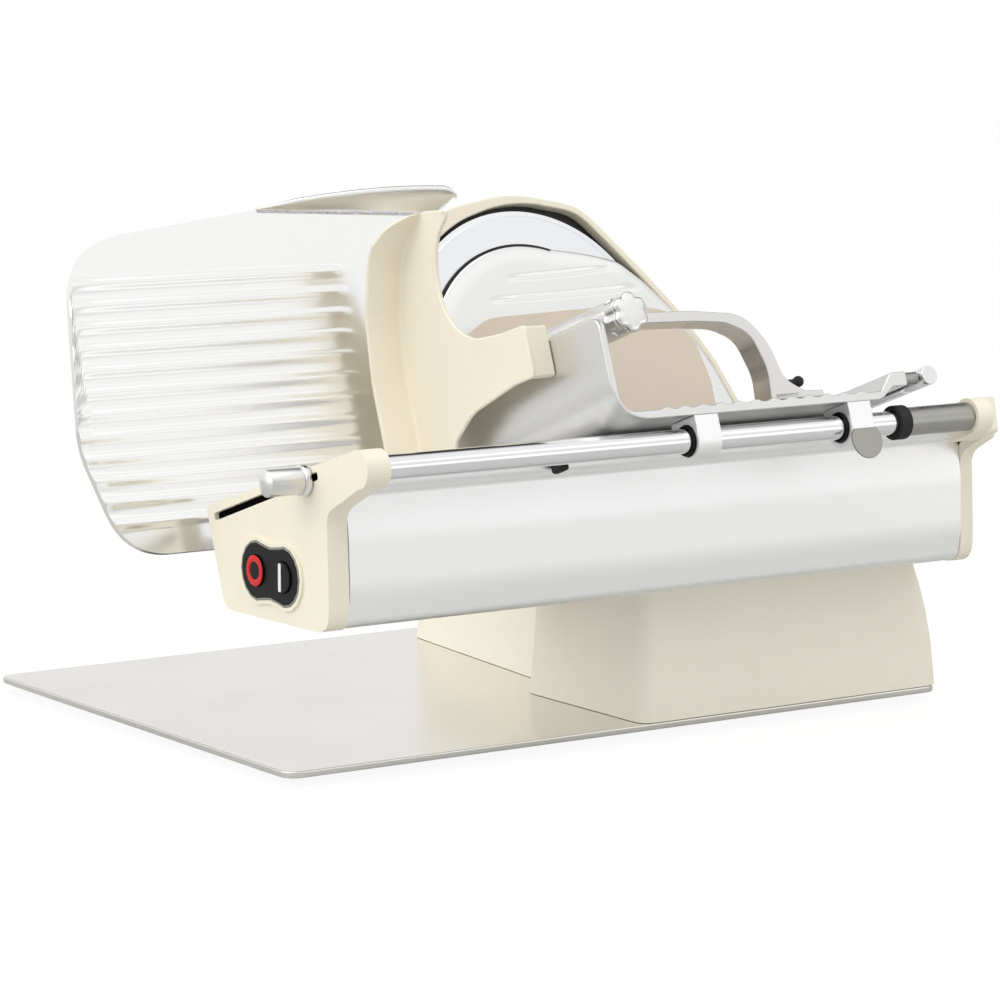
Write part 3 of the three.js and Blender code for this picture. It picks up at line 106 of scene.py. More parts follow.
def paper_floor():
    """White studio paper: matt, lit by the lamps, and lifted towards white for the camera alone. It gives the
    eye a clean ground that keeps a pale shadow."""
    material, tree = new_material("studio_paper")
    paper = add_node(tree, "ShaderNodeBsdfDiffuse", values={"Color": from_hex("#cacac8")})
    white = add_node(tree, "ShaderNodeEmission", values={
        "Color": from_hex("#ffffff"), "Strength": floor_own_light})
    ray = add_node(tree, "ShaderNodeLightPath")
    seen = add_node(tree, "ShaderNodeMath", {"operation": "MULTIPLY"}, {1: floor_lift},
                    {0: (ray, "Is Camera Ray")})
    mixed = add_node(tree, "ShaderNodeMixShader", links={0: (seen, 0), 1: (paper, 0), 2: (white, 0)})
    add_node(tree, "ShaderNodeOutputMaterial", links={"Surface": (mixed, 0)})
    return material


floor_corners = np.array([[-1, -1, 0], [1, -1, 0], [1, 1, 0], [-1, 1, 0]]) * floor_size / 2
floor_mesh = bpy.data.meshes.new("studio_floor")
floor_mesh.from_pydata(floor_corners.tolist(), [], [(0, 1, 2, 3)])
floor_mesh.materials.append(paper_floor())
floor = bpy.data.objects.new("studio_floor", floor_mesh)
bpy.context.collection.objects.link(floor)
room_in_front = [(0.0, 0.56), (0.35, 0.58), (0.62, 1.0), (1.0, 1.0)]
room_behind = [(0.0, 1.0), (0.3, 1.0), (0.42, 0.05), (0.76, 0.05), (0.86, 1.0), (1.0, 1.0)]
room_on_left = [(0.0, 1.0), (1.0, 1.1)]
backdrop_light = 1.02


def studio_surround():
    """The room as the metal shows it: a white ceiling, white walls on the left, a grey room in front, and a
    dark stretch behind, between floor and ceiling. Each part gives a light for each height of the look, and
    fades in where the look turns towards it. The camera sees white."""
    surround = bpy.data.worlds.new("studio_surround")
    surround.use_nodes = True
    tree = surround.node_tree
    tree.nodes.clear()
    place = add_node(tree, "ShaderNodeTexCoord")
    direction = add_node(tree, "ShaderNodeSeparateXYZ", links={0: (place, "Generated")})
    room = None
    for stops, towards, start, end in (
            (room_in_front, (0, 0, 0), 0, 1),
            (room_behind, (0, 1, 0), 0.0, 0.3),
            (room_on_left, (-0.88, 0.47, 0), 0.1, 0.7)):
        look = add_node(tree, "ShaderNodeValToRGB", links={0: (direction, 2)})
        marks = look.color_ramp.elements
        while len(marks) < len(stops):
            marks.new(0.5)
        for mark, (height, light) in zip(marks, stops):
            mark.position = height
            mark.color = (light, light, light, 1)
        if room is None:
            room = (look, 0)
            continue
        turned_to = add_node(tree, "ShaderNodeVectorMath", {"operation": "DOT_PRODUCT"}, {1: towards},
                             {0: (place, "Generated")})
        there = add_node(tree, "ShaderNodeMapRange", {"interpolation_type": "SMOOTHSTEP"}, links={
            "Value": (turned_to, "Value")}, values={"From Min": start, "From Max": end})
        blend = add_node(tree, "ShaderNodeMix", {"data_type": "RGBA"}, links={
            0: (there, 0), 6: room, 7: (look, 0)})
        room = (blend, 2)
    light = add_node(tree, "ShaderNodeBackground", links={"Color": room})
    white = add_node(tree, "ShaderNodeBackground", values={
        "Color": from_hex("#ffffff"), "Strength": backdrop_light})
    ray = add_node(tree, "ShaderNodeLightPath")
    mixed = add_node(tree, "ShaderNodeMixShader", links={
        0: (ray, "Is Camera Ray"), 1: (light, 0), 2: (white, 0)})
    add_node(tree, "ShaderNodeOutputWorld", links={"Surface": (mixed, 0)})
    return surround


bpy.context.scene.world = studio_surround()
lamp_aim = (0, 0, 0.2)


def soft_lamp(name, place, width, height, power):
    """An oblong soft box, turned from its place towards the middle of the machine. Power is in watts."""
    data = bpy.data.lights.new(name, "AREA")
    data.shape = "RECTANGLE"
    data.size, data.size_y = width, height
    data.energy = power
    lamp = bpy.data.objects.new(name, data)
    lamp.location = place
    lamp.rotation_euler = (Vector(lamp_aim) - Vector(place)).to_track_quat("-Z", "Y").to_euler()
    bpy.context.collection.objects.link(lamp)


soft_lamp("lamp_above", (-0.5, -0.5, 2.3), 2.2, 2.2, 13)
soft_lamp("lamp_left", (-2.4, 0.5, 1.2), 1.8, 1.8, 12.5)
soft_lamp("lamp_right", (0.95, -1.42, 0.8), 1.5, 1.5, 2)
soft_lamp("lamp_low", (0.95, -1.42, 0.3), 1.9, 0.5, 1.4)


# The lean of the slicer: blade, tray, gauge plate and rail housing share one frame, leaned back so that
# food slides down to the blade. Its origin is at the blade's centre and at the base plate's left edge.
joints = {joint["name"]: joint for joint in frame["record"]["behaviour"]["joints"]}
blade_centre = np.array(joints["blade_spin"]["pos_m"])
into_blade = np.array(joints["blade_spin"]["axis"])
into_blade = into_blade / np.linalg.norm(into_blade)
along_rail = np.array([1.0, 0.0, 0.0])
up_slope = np.cross(along_rail, into_blade)
lean_origin = np.array([plate_low[0], blade_centre[1], blade_centre[2]])


def leaned(x, y, z):
    """Places in the leaned frame, in mm, as points of the scene: x along the rail from the base plate's left
    edge, y into the blade's plane and z up the slope, both from the blade's centre."""
    x, y, z = np.broadcast_arrays(x, y, z)
    return lean_origin + mm * (
        x[..., None] * along_rail + y[..., None] * into_blade + z[..., None] * up_slope)


def upright(x, y, z):
    """Places measured from the base plate's front left lower corner, in mm, as points of the scene."""
    x, y, z = np.broadcast_arrays(x, y, z)
    return plate_low + mm * np.stack([x, y, z], -1)


def across_x(a, b, x):
    """Places of an outline drawn in y and z of the leaned frame, at x."""
    return leaned(x, a, b)


def across_y(a, b, y):
    """Places of an outline drawn in x and z of the leaned frame, at y."""
    return leaned(a, y, b)


def lean_from_upright(y, z):
    """y and z of the leaned frame for a depth and a height measured on the upright base plate."""
    back, up = (plate_low + mm * np.array([0, y, z]) - blade_centre)[1:] / mm
    direction = np.array([0, back, up])
    return float(direction @ into_blade), float(direction @ up_slope)


# The base plate: a sheet of stainless steel, cut, its corners rounded, and brushed along its length. It
# mirrors the cabinet softly, because the brushing is fine.
def per_metre(size):
    """The scale of a pattern whose features are that many mm across, for a texture that reads metres."""
    return 1 / (size * mm)


def rounded(corners, steps):
    """An outline from (a, b, radius) corners: each corner is a quadratic curve that starts and ends on its
    two sides, at the radius over the tangent of half the corner's angle."""
    corners = np.array([(*corner, 0)[:3] for corner in corners], float)
    place, radius = corners[:, :2], corners[:, 2]
    before = np.roll(place, 1, 0) - place
    after = np.roll(place, -1, 0) - place
    before_length = np.linalg.norm(before, axis=1)
    after_length = np.linalg.norm(after, axis=1)
    cosine = (before * after).sum(1) / (before_length * after_length)
    half = np.arccos(np.clip(cosine, -1, 1)) / 2
    most = 0.48 * np.minimum(before_length, after_length)
    reach = np.minimum(radius / np.tan(half), most)
    start = place + before * (reach / before_length)[:, None]
    end = place + after * (reach / after_length)[:, None]
    t = np.linspace(0, 1, steps + 1)[None, :, None]
    curve = (1 - t) ** 2 * start[:, None] + 2 * t * (1 - t) * place[:, None] + t ** 2 * end[:, None]
    points = curve.reshape(-1, 2)
    apart = np.linalg.norm(points - np.roll(points, 1, 0), axis=1) > 1e-6
    return points[apart]


def box_outline(low_a, low_b, high_a, high_b, radius, steps=10):
    """The outline of a rectangle with rounded corners."""
    return rounded([(low_a, low_b, radius), (high_a, low_b, radius), (high_a, high_b, radius),
                    (low_a, high_b, radius)], steps)


def smooth_piece(name, mesh, work, sharp_degrees):
    """Writes the worked mesh back and makes it a piece, shaded smooth but for the edges that turn by more
    than sharp_degrees."""
    for face in work.faces:
        face.smooth = True
    for edge in work.edges:
        edge.smooth = edge.calc_face_angle(0) < math.radians(sharp_degrees)
    work.to_mesh(mesh)
    work.free()
    piece = bpy.data.objects.new(name, mesh)
    bpy.context.collection.objects.link(piece)
    return piece


def finish_mesh(name, points, faces, sharp_degrees=32):
    """Makes a piece of points and faces: points in the same place become one, and its faces turn outwards."""
    mesh = bpy.data.meshes.new(name)
    mesh.from_pydata(points.reshape(-1, 3).tolist(), [], faces)
    work = bmesh.new()
    work.from_mesh(mesh)
    bmesh.ops.remove_doubles(work, verts=work.verts, dist=0.002 * mm)
    bmesh.ops.recalc_face_normals(work, faces=work.faces)
    if work.calc_volume(signed=True) < 0:
        bmesh.ops.reverse_faces(work, faces=work.faces)
    return smooth_piece(name, mesh, work, sharp_degrees)


def slab(name, outline, low, high, place):
    """A plate: the outline carried straight from low to high. place turns (a, b, height) to points of the
    scene."""
    points = np.concatenate([place(outline[:, 0], outline[:, 1], height) for height in (low, high)])
    count = len(outline)
    i = np.arange(count)
    k = np.roll(i, -1)
    walls = np.stack([i, k, k + count, i + count], 1).tolist()
    return finish_mesh(name, points, [*walls, i[::-1].tolist(), (i + count).tolist()])


def ease_edges(piece, radius, steps=3, degrees=34):
    """Rounds the sharp edges of a piece by a radius in mm, and keeps its flats flat."""
    bevel = piece.modifiers.new("eased_edges", "BEVEL")
    bevel.width = radius * mm
    bevel.segments = steps
    bevel.limit_method = "ANGLE"
    bevel.angle_limit = np.radians(degrees)
    bevel.miter_outer = "MITER_ARC"
    flats = piece.modifiers.new("flat_faces", "WEIGHTED_NORMAL")
    flats.keep_sharp = False


slot_of = {part["node"]: part["material_slot"] for part in frame["record"]["subparts"]}
body_of = {node: body for body, nodes in frame["record"]["behaviour"]["bodies"].items() for node in nodes}
fitted = set()


def fit(piece, material, node, stands_for=True, ease=None):
    """Gives a piece its material, lets it move with a CAD part's body, and puts it in that part's place,
    unless it only sits on it. ease holds what ease_edges is told."""
    if ease:
        ease_edges(piece, *ease)
    piece.data.materials.clear()
    piece.data.materials.append(material)
    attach(piece, body_of[node])
    if stands_for:
        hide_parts(node)
        fitted.add(node)
    return piece


def finish_off(tree, colour, roughness, pattern, spread, swing, shades, relief, own):
    """Ends a finish: where the pattern runs over its spread, the roughness swings to both sides and the
    colour's brightness runs over shades. own holds the shader's other values."""
    rough, shade = (
        add_node(tree, "ShaderNodeMapRange", links={"Value": (pattern, 0)}, values={
            "From Min": spread[0], "From Max": spread[1], "To Min": low, "To Max": high})
        for low, high in ((roughness - swing, roughness + swing), shades))
    tone = add_node(tree, "ShaderNodeHueSaturation", values={"Color": from_hex(colour)},
                    links={"Value": (shade, 0)})
    skin = add_node(tree, "ShaderNodeBsdfPrincipled", values=own, links={
        "Base Color": (tone, 0), "Roughness": (rough, 0), "Normal": (relief, 0)})
    add_node(tree, "ShaderNodeOutputMaterial", links={"Surface": (skin, 0)})


def brushed_metal(name, colour, roughness, grain, mottle=0.03, bump=0.1, cloud=90):
    """Brushed, rolled or drawn metal: fine lines along the grain, drawn wider than they are so that they
    show, over slow changes of sheen. grain is the length of a line in mm along x, y and z."""
    material, tree = new_material(name)
    place = add_node(tree, "ShaderNodeTexCoord")
    lines_at = add_node(tree, "ShaderNodeMapping", links={"Vector": (place, "Object")}, values={
        "Scale": [per_metre(length) for length in grain]})
    lines = add_node(tree, "ShaderNodeTexNoise", values={"Scale": 1, "Detail": 3},
                     links={"Vector": (lines_at, 0)})
    clouds = add_node(tree, "ShaderNodeTexNoise", values={"Scale": per_metre(cloud), "Detail": 1},
                      links={"Vector": (place, "Object")})
    both = add_node(tree, "ShaderNodeMath", {"operation": "ADD"}, links={0: (lines, 0), 1: (clouds, 0)})
    relief = add_node(tree, "ShaderNodeBump", values={"Strength": bump, "Distance": 0.02 * mm},
                      links={"Height": (lines, 0)})
    finish_off(tree, colour, roughness, both, (0.6, 1.4), 2 * mottle, (1 - mottle, 1 + mottle), relief,
               {"Metallic": 1.0})
    return material


plate_width, plate_depth, plate_thickness = (plate_high - plate_low) / mm
plate_corner = 12
plate_outline = box_outline(0, 0, plate_width, plate_depth, plate_corner)
# It gives the eye a warm grey mirror, blurred along x.
plate_steel = brushed_metal("brushed_stainless", "#eae8e3", 0.22, (160, 0.8, 0.8), mottle=0.012, bump=0.06)
base_plate = slab("base_plate_sheet", plate_outline, 0, plate_thickness, upright)
fit(base_plate, plate_steel, "base_plate", ease=(0.8,))


# The hand guard: die-cast aluminium in cream enamel. A flat C-shaped face, and along its back edge a rim that
# turns out towards the operator through a soft fillet and runs into the face at the top.
def enamel(name, colour, roughness, peel=0.12, specular=0.5):
    """Stoved enamel on a casting, or moulded ABS: smooth and glossy, with a faint orange peel about 3 mm
    wide and a slow drift of tone."""
    material, tree = new_material(name)
    place = add_node(tree, "ShaderNodeTexCoord")
    peel_waves = add_node(tree, "ShaderNodeTexNoise", values={"Scale": per_metre(3), "Detail": 2},
                          links={"Vector": (place, "Object")})
    relief = add_node(tree, "ShaderNodeBump", values={"Strength": peel, "Distance": 0.03 * mm},
                      links={"Height": (peel_waves, 0)})
    drift = add_node(tree, "ShaderNodeTexNoise", values={"Scale": per_metre(70), "Detail": 2},
                     links={"Vector": (place, "Object")})
    finish_off(tree, colour, roughness, drift, (0.3, 0.7), 0.03, (0.985, 1.015), relief,
               {"Specular IOR Level": specular})
    return material


def evenly(outline, step):
    """A closed outline walked again in even steps, in mm, by its length."""
    closed = np.vstack([outline, outline[:1]])
    walked = np.concatenate([[0], np.cumsum(np.linalg.norm(np.diff(closed, axis=0), axis=1))])
    at = np.linspace(0, walked[-1], int(walked[-1] / step), endpoint=False)
    return np.stack([np.interp(at, walked, closed[:, k]) for k in (0, 1)], 1)


def inward(outline):
    """The unit normals of a closed outline that point into it, from the directions to the neighbours."""
    along = np.roll(outline, -1, 0) - np.roll(outline, 1, 0)
    along = along / np.linalg.norm(along, axis=1)[:, None]
    area = (outline[:, 0] * np.roll(outline[:, 1], -1) - outline[:, 1] * np.roll(outline[:, 0], -1)).sum()
    return np.stack([-along[:, 1], along[:, 0]], 1) * np.sign(area)


def arc(middle_a, middle_b, radius, start, end, steps=6):
    """Points of a circular arc in a profile, from one angle to another, in degrees."""
    angle = np.radians(np.linspace(start, end, steps + 1))
    return np.stack([middle_a + radius * np.cos(angle), middle_b + radius * np.sin(angle)], 1)


def grid_faces(rows, columns, loop_rows=False, loop_columns=False):
    """The four-cornered faces of a grid of points; a looped direction joins its last line to its first."""
    i = np.arange(rows if loop_rows else rows - 1)[:, None]
    j = np.arange(columns if loop_columns else columns - 1)[None]
    below, beside = (i + 1) % rows, (j + 1) % columns
    corners = np.broadcast_arrays(i * columns + j, i * columns + beside, below * columns + beside,
                                  below * columns + j)
    return np.stack(corners, -1).reshape(-1, 4)


guard_face_x, guard_back_x, guard_rim_x = 167.7, 170.7, 142.4
guard_wall, guard_fillet, guard_edge, guard_flat_border = 3, 2.8, 1.1, 1.4
rim_fades_from, rim_fades_over = -59, 24
foot_plain, foot_blend = 4, 6
guard_tip_front, guard_tip_top, guard_tip_bottom = -145.5, -11.9, -44.6
guard_leg_bottom = -76
guard_back_corners = [
    (-4.6, guard_leg_bottom, 2), (-4.3, -12, 60), (-10.5, 28, 60), (-26, 64, 40), (-44, 79, 22),
    (-60, 84.5, 14), (-87, 77.5, 3)]
guard_inside_corners = [
    (-84, 73, 3), (-70, 64, 60), (-61.5, 44, 60), (-62, 22, 60), (-71, 6, 60), (-88, -6, 60),
    (-120, -10.5, 60)]
guard_halfway = [(guard_leg_bottom, -25), (-12, -40), (28, -34), (48, -38), (64, -50), (79, -60), (85, -62)]
guard_under_corners = [(-122, -44, 30), (-72, -49, 40), (-45, -62, 28), (-45, guard_leg_bottom, 2)]


def guard_sections(outline):
    """The guard's profile at each point of its outline, as (x, distance into the outline): a blend, by how
    much rim there is, between a plain rounded edge and a rim with its rounded tip and its fillet. The rim's
    share falls as a root of the depth towards the top, so that its tip curves into the face."""
    deep = outline[:, 0]
    on_back = deep > np.interp(outline[:, 1], *np.array(guard_halfway).T)
    share = np.sqrt(np.clip((deep - rim_fades_from) / rim_fades_over, 0, 1)) * on_back
    share = share * np.clip((outline[:, 1] - guard_leg_bottom - foot_plain) / foot_blend, 0, 1)
    tip = arc(guard_rim_x + guard_wall / 2, guard_wall / 2, guard_wall / 2, 270, 90)
    fillet = arc(guard_face_x - guard_fillet, guard_wall + guard_fillet, guard_fillet, -90, 0, 10)
    back_edge = arc(guard_back_x - guard_edge, guard_edge, guard_edge, 0, -90, 4)
    rim = np.vstack([back_edge, tip, fillet])
    plain_edge = arc(guard_face_x + guard_edge, guard_edge, guard_edge, 270, 180, len(tip) + len(fillet) - 1)
    plain = np.vstack([back_edge, plain_edge])
    edge = share[:, None, None] * rim + (1 - share[:, None, None]) * plain
    border = np.array([0, guard_flat_border])
    return np.concatenate([edge[:, :1] + border, edge, edge[:, -1:] + border], 1)


guard_outline = evenly(rounded([
    *guard_back_corners, *guard_inside_corners, (guard_tip_front, guard_tip_top, 4),
    (guard_tip_front, guard_tip_bottom, 4), *guard_under_corners], 16), 1.2)
guard_profile = guard_sections(guard_outline)
guard_flat = guard_outline[:, None] + guard_profile[..., 1:] * inward(guard_outline)[:, None]
guard_points = leaned(guard_profile[..., 0], guard_flat[..., 0], guard_flat[..., 1])
guard_stations, guard_around = guard_points.shape[:2]
guard_faces = grid_faces(guard_stations, guard_around, loop_rows=True).tolist()
for column in (0, guard_around - 1):
    edge = guard_flat[:, column]
    guard_faces += [tuple(np.array(face) * guard_around + column)
                    for face in tessellate_polygon([[Vector((*point, 0)) for point in edge]])]
# Stoved enamel: it gives the eye a warm cream, soft as satin, with broad highlights.
cream = enamel("cream_enamel", "#f1ead6", 0.4)
guard = finish_mesh("hand_guard_casting", guard_points, guard_faces, sharp_degrees=50)
guard.modifiers.new("flat_faces", "WEIGHTED_NORMAL").keep_sharp = True
fit(guard, cream, "hand_guard")
tip_front, tip_back = guard_tip_front + 0.4, guard_tip_front + 7
tip_low, tip_top = guard_tip_bottom + 0.3, guard_tip_top - 0.8
tip_start_x, tip_end_x = guard_back_x - 1.2, 184.3
tip_block = slab("hand_guard_tip", rounded([
    (tip_front, tip_low, 1.5), (tip_back, tip_low, 1), (tip_back, tip_top, 1), (tip_front, tip_top, 1.5)], 4),
    tip_start_x, tip_end_x, across_x)
fit(tip_block, cream, "hand_guard", stands_for=False, ease=(0.8,))


# The gauge plate: cast aluminium, ribbed so that food slides on it, its face satin. The ribs fade out beside
# the blade, and along the top the plate turns forward into a thick lip that is rounded at its end.
def column_ends(outline, x):
    """The lowest and the highest z of a closed outline at each x: its two chains between its leftmost and
    rightmost points, read at x."""
    first, last = outline[:, 0].argmin(), outline[:, 0].argmax()
    turned_round = np.roll(outline, -first, 0)
    cut = (last - first) % len(outline)
    one, other = turned_round[:cut + 1], np.vstack([turned_round[cut:], turned_round[:1]])[::-1]
    a, b = (np.interp(x, chain[:, 0], chain[:, 1]) for chain in (one, other))
    return np.minimum(a, b), np.maximum(a, b)


def thick_sheet(name, front, back):
    """A closed sheet of two grids of the same layout, front and back, joined round their borders."""
    rows, columns = front.shape[:2]
    count = rows * columns
    faces = grid_faces(rows, columns)
    rim = np.concatenate([np.arange(columns), np.arange(1, rows) * columns + columns - 1,
                          count - 2 - np.arange(columns - 1), (rows - 2 - np.arange(rows - 2)) * columns])
    after = np.roll(rim, -1)
    walls = np.stack([rim, after, after + count, rim + count], 1)
    every = np.vstack([faces, faces[:, ::-1] + count, walls]).tolist()
    return finish_mesh(name, np.stack([front, back]), every, sharp_degrees=40)


blade_x = 274.2
gauge_front, gauge_back = 9, 13
gauge_bottom, gauge_right_x, gauge_top_right = -103, 225, 101.8
gauge_lip_start, gauge_top_left = 92, 109.4
gauge_arc_radius = 114
gauge_stop_x = blade_x - gauge_arc_radius
rib_rise, rib_half, rib_pitch, rib_top, rib_count, rib_end_x, rib_fade = 1.3, 4.8, 13.6, 67, 12, 149, 12


def rib_height(x, z):
    """How far the face stands out: each rib is a cosine hump across, and fades out at its right end."""
    order = np.clip(np.round((rib_top - z) / rib_pitch), 0, rib_count - 1)
    away = np.clip(np.abs(z - (rib_top - order * rib_pitch)) / rib_half, 0, 1)
    fade = np.clip((rib_end_x - x) / rib_fade, 0, 1)
    return rib_rise * (0.5 + 0.5 * np.cos(np.pi * away)) * fade ** 2 * (3 - 2 * fade)


gauge_outline = rounded([
    (gauge_right_x, gauge_top_right), (gauge_lip_start, gauge_top_left), (-46, 93, 50), (-61, -35, 70),
    (-42, gauge_bottom, 40), (gauge_right_x, gauge_bottom)], 40)
gauge_left_x = gauge_outline[:, 0].min()
near_left = gauge_left_x + (gauge_lip_start - gauge_left_x) * np.linspace(0, 1, 60) ** 2.2
gauge_x = np.concatenate([near_left, np.linspace(gauge_lip_start, gauge_stop_x, 36)[1:],
                          np.linspace(gauge_stop_x + 0.2, gauge_right_x, 20)])
gauge_low, gauge_high = column_ends(gauge_outline, gauge_x)
blade_side = np.sqrt(np.clip(gauge_arc_radius ** 2 - (blade_x - gauge_x) ** 2, 0, None))
gauge_low = np.where(gauge_x > gauge_stop_x + 0.1, blade_side, gauge_low)
gauge_share = np.linspace(0, 1, 280)[:, None]
gauge_z = gauge_low + gauge_share * (np.maximum(gauge_high, gauge_low + 0.2) - gauge_low)
# A satin casting: it gives the eye bright ribs with soft grey flanks.
gauge_metal = brushed_metal("satin_cast_aluminium", "#f0f0ef", 0.25, (90, 1.2, 1.2), mottle=0.012, bump=0.03)
gauge_plate = thick_sheet("gauge_plate_casting",
                          leaned(gauge_x, gauge_front - rib_height(gauge_x, gauge_z), gauge_z),
                          leaned(gauge_x, gauge_back, gauge_z))
fit(gauge_plate, gauge_metal, "gauge_plate", ease=(0.3, 2, 60))
lip_rise, lip_forward, lip_round, lip_overhang, lip_fall, lip_root = 11.5, 13, 1.9, 9.5, 3.2, 2.2
edge_angles, edge_back, edge_up = (-0.9, 2.0), 0.4, 0.7


def lip_section(x):
    """The lip's closed profile at x: from the crease the underside leans forward and up, nearly straight, to
    a round edge, and the upper side comes back. Past the plate's end the profile draws in to the edge."""
    t = (x - gauge_lip_start) / (gauge_right_x - gauge_lip_start)
    bend = np.sin(np.clip(t, 0, 1) * np.pi / 2)
    past = np.clip((x - gauge_right_x) / lip_overhang, 0, 1)
    crease = gauge_top_left + np.clip(t, 0, 1.07) * (gauge_top_right - gauge_top_left)
    edge = lip_round * np.clip(bend * 3, 0.25, 1) * np.sqrt(1 - 0.97 * past ** 2)
    drop = lip_fall * past ** 2
    tip_y = gauge_front - bend * lip_forward
    tip_z = crease + bend * lip_rise - drop
    cut_back = 0.75 * past ** 0.8
    share = cut_back + (1 - cut_back) * np.linspace(0, 1, 12)
    under = np.stack([gauge_front + share ** 1.15 * (tip_y - gauge_front),
                      crease + share * (tip_z - crease)], 1)
    angle = np.linspace(*edge_angles, 12)
    round_edge = np.stack([tip_y - edge * np.cos(angle) + edge_back * edge,
                           tip_z + edge * np.sin(angle) + edge_up * edge], 1)
    way = np.linspace(0.1, 1, 10) * (1 - past)
    over = np.stack([round_edge[-1, 0] + way * (gauge_back - round_edge[-1, 0]),
                     round_edge[-1, 1] + way * (crease - round_edge[-1, 1])], 1)
    seat = np.stack([[over[-1, 0], under[0, 0]], [under[0, 1] - lip_root * (1 - past)] * 2], 1)
    return np.vstack([under, round_edge, over, seat])


lip_x = np.concatenate([np.linspace(gauge_lip_start, gauge_right_x, 60),
                        gauge_right_x + lip_overhang * np.sin(np.linspace(0.03, 1, 22) * np.pi / 2)])
lip_sections = np.stack([lip_section(x) for x in lip_x])
lip_points = leaned(lip_x[:, None], lip_sections[..., 0], lip_sections[..., 1])
lip_around = lip_points.shape[1]
lip_faces = grid_faces(len(lip_x), lip_around, loop_columns=True).tolist()
lip_last = (len(lip_x) - 1) * lip_around
lip_faces += [list(range(lip_around)), list(range(lip_last, lip_last + lip_around))]
lip = finish_mesh("gauge_plate_lip", lip_points, lip_faces, sharp_degrees=45)
fit(lip, gauge_metal, "gauge_plate", stands_for=False)


# The slicing blade: ground and polished steel, its face turned in fine rings, with a bright ground bevel. It
# sits in a black well.
def turned(name, axis, profile, middle, around=96, sharp_degrees=32, cut=None):
    """A turned part: the profile's radius along the axis, x or y of the leaned frame, less what cut takes
    there, carried in a circle round the axis through middle, which gives the other two places."""
    along, radius = np.array(profile, float).T[:, :, None]
    angle = np.linspace(0, 2 * np.pi, around, endpoint=False)[None]
    reach = radius - cut(along, radius, angle) if cut else radius
    a, b = middle[0] + reach * np.cos(angle), middle[1] + reach * np.sin(angle)
    points = leaned(along, a, b) if axis == "x" else leaned(a, along, b)
    faces = grid_faces(len(profile), around, loop_rows=bool(np.any(radius[0] > 0)), loop_columns=True)
    return finish_mesh(name, points, faces.tolist(), sharp_degrees)


lean_angle = np.radians(20)


def ring_ground_steel(name, colour, roughness):
    """Ground steel: rings round the blade's axis, drawn 1.5 mm apart so that they show, over slow changes."""
    material, tree = new_material(name)
    place = add_node(tree, "ShaderNodeTexCoord")
    turned_flat = add_node(tree, "ShaderNodeMapping", {"vector_type": "TEXTURE"}, links={
        "Vector": (place, "Object")}, values={"Location": blade_centre, "Rotation": (-lean_angle, 0, 0)})
    flat = add_node(tree, "ShaderNodeSeparateXYZ", links={0: (turned_flat, 0)})
    across = add_node(tree, "ShaderNodeCombineXYZ", links={"X": (flat, 0), "Y": (flat, 2)})
    reach = add_node(tree, "ShaderNodeVectorMath", {"operation": "LENGTH"}, links={0: (across, 0)})
    rings_at = add_node(tree, "ShaderNodeCombineXYZ", links={"X": (reach, "Value")})
    rings = add_node(tree, "ShaderNodeTexNoise", values={"Scale": per_metre(1.5), "Detail": 3},
                     links={"Vector": (rings_at, 0)})
    relief = add_node(tree, "ShaderNodeBump", values={"Strength": 0.05, "Distance": 0.02 * mm},
                      links={"Height": (rings, 0)})
    finish_off(tree, colour, roughness, rings, (0.3, 0.7), 0.04, (0.975, 1.0), relief, {"Metallic": 1.0})
    return material


# It gives the eye a cool pale disc whose sheen runs round in fine rings.
blade_steel = ring_ground_steel("ground_steel", "#eeeff1", 0.34)
blade_radius, hub_radius, shaft_bore = 98, 20, 6.3
blade_front, blade_back, hub_back = -0.4, 1.6, 4
bevel, bevel_step, hollow = 3, 0.4, 9
blade = turned("blade_disc", "y", [
    (blade_front, shaft_bore), (blade_front, blade_radius - bevel - bevel_step),
    (blade_front + bevel_step / 2, blade_radius - bevel), (0, blade_radius),
    (blade_back, blade_radius - hollow), (blade_back, hub_radius), (hub_back, hub_radius),
    (hub_back, shaft_bore)], (blade_x, 0), 256, 12)
fit(blade, blade_steel, "slicing_blade")


# The blade cover: an aluminium pressing, polished, with two long soft grooves that open to the right.
cover_x, cover_z, cover_radius = 273.6, -4.4, 78.9
cover_front, cover_back = -3, -0.8
cover_left, cover_right = cover_x - cover_radius, 421
cover_low_z = -77
flank_left = 326
cover_flank = rounded([
    (flank_left, 67), (352, 60, 20), (368, 47, 20), (392.7, 23), (412.2, -12), (426, -46),
    (cover_right, cover_low_z), (flank_left, cover_low_z)], 8)
groove_lines = [(53, 262, 330, 2.6), (39, 246, 350, 2.6)]
groove_bow, groove_fade, groove_overrun, groove_depth = 2.2, 22, 14, 0.8
dome_right, dome_below = 300, 30
cover_rolls = [(12, 1.1), (2, 0.8)]


def cover_face(x, z, top):
    """The pressing's front: two grooves, each a cosine trough that fades out at its two ends, and a roll away
    from the viewer towards its upper edge, gentle over 12 mm and tight over the last 2 mm."""
    y = np.full(z.shape, float(cover_front))
    for line, start, end, half in groove_lines:
        bowed = line + groove_bow * ((x - start) / (end - start)) ** 2
        away = np.clip(np.abs(z - bowed) / half, 0, 1)
        fade = np.clip((x - start) / groove_fade, 0, 1) * np.clip(
            (end + groove_overrun - x) / groove_fade, 0, 1)
        y = y + groove_depth * (0.5 + 0.5 * np.cos(np.pi * away)) * np.sqrt(fade)
    radial = cover_radius - np.hypot(x - cover_x, z - cover_z)
    inside = np.where((x < dome_right) & (z > cover_z - dome_below), radial, top - z)
    for width, fall in cover_rolls:
        y = y + fall * np.clip(1 - inside / width, 0, 1) ** 2
    return y


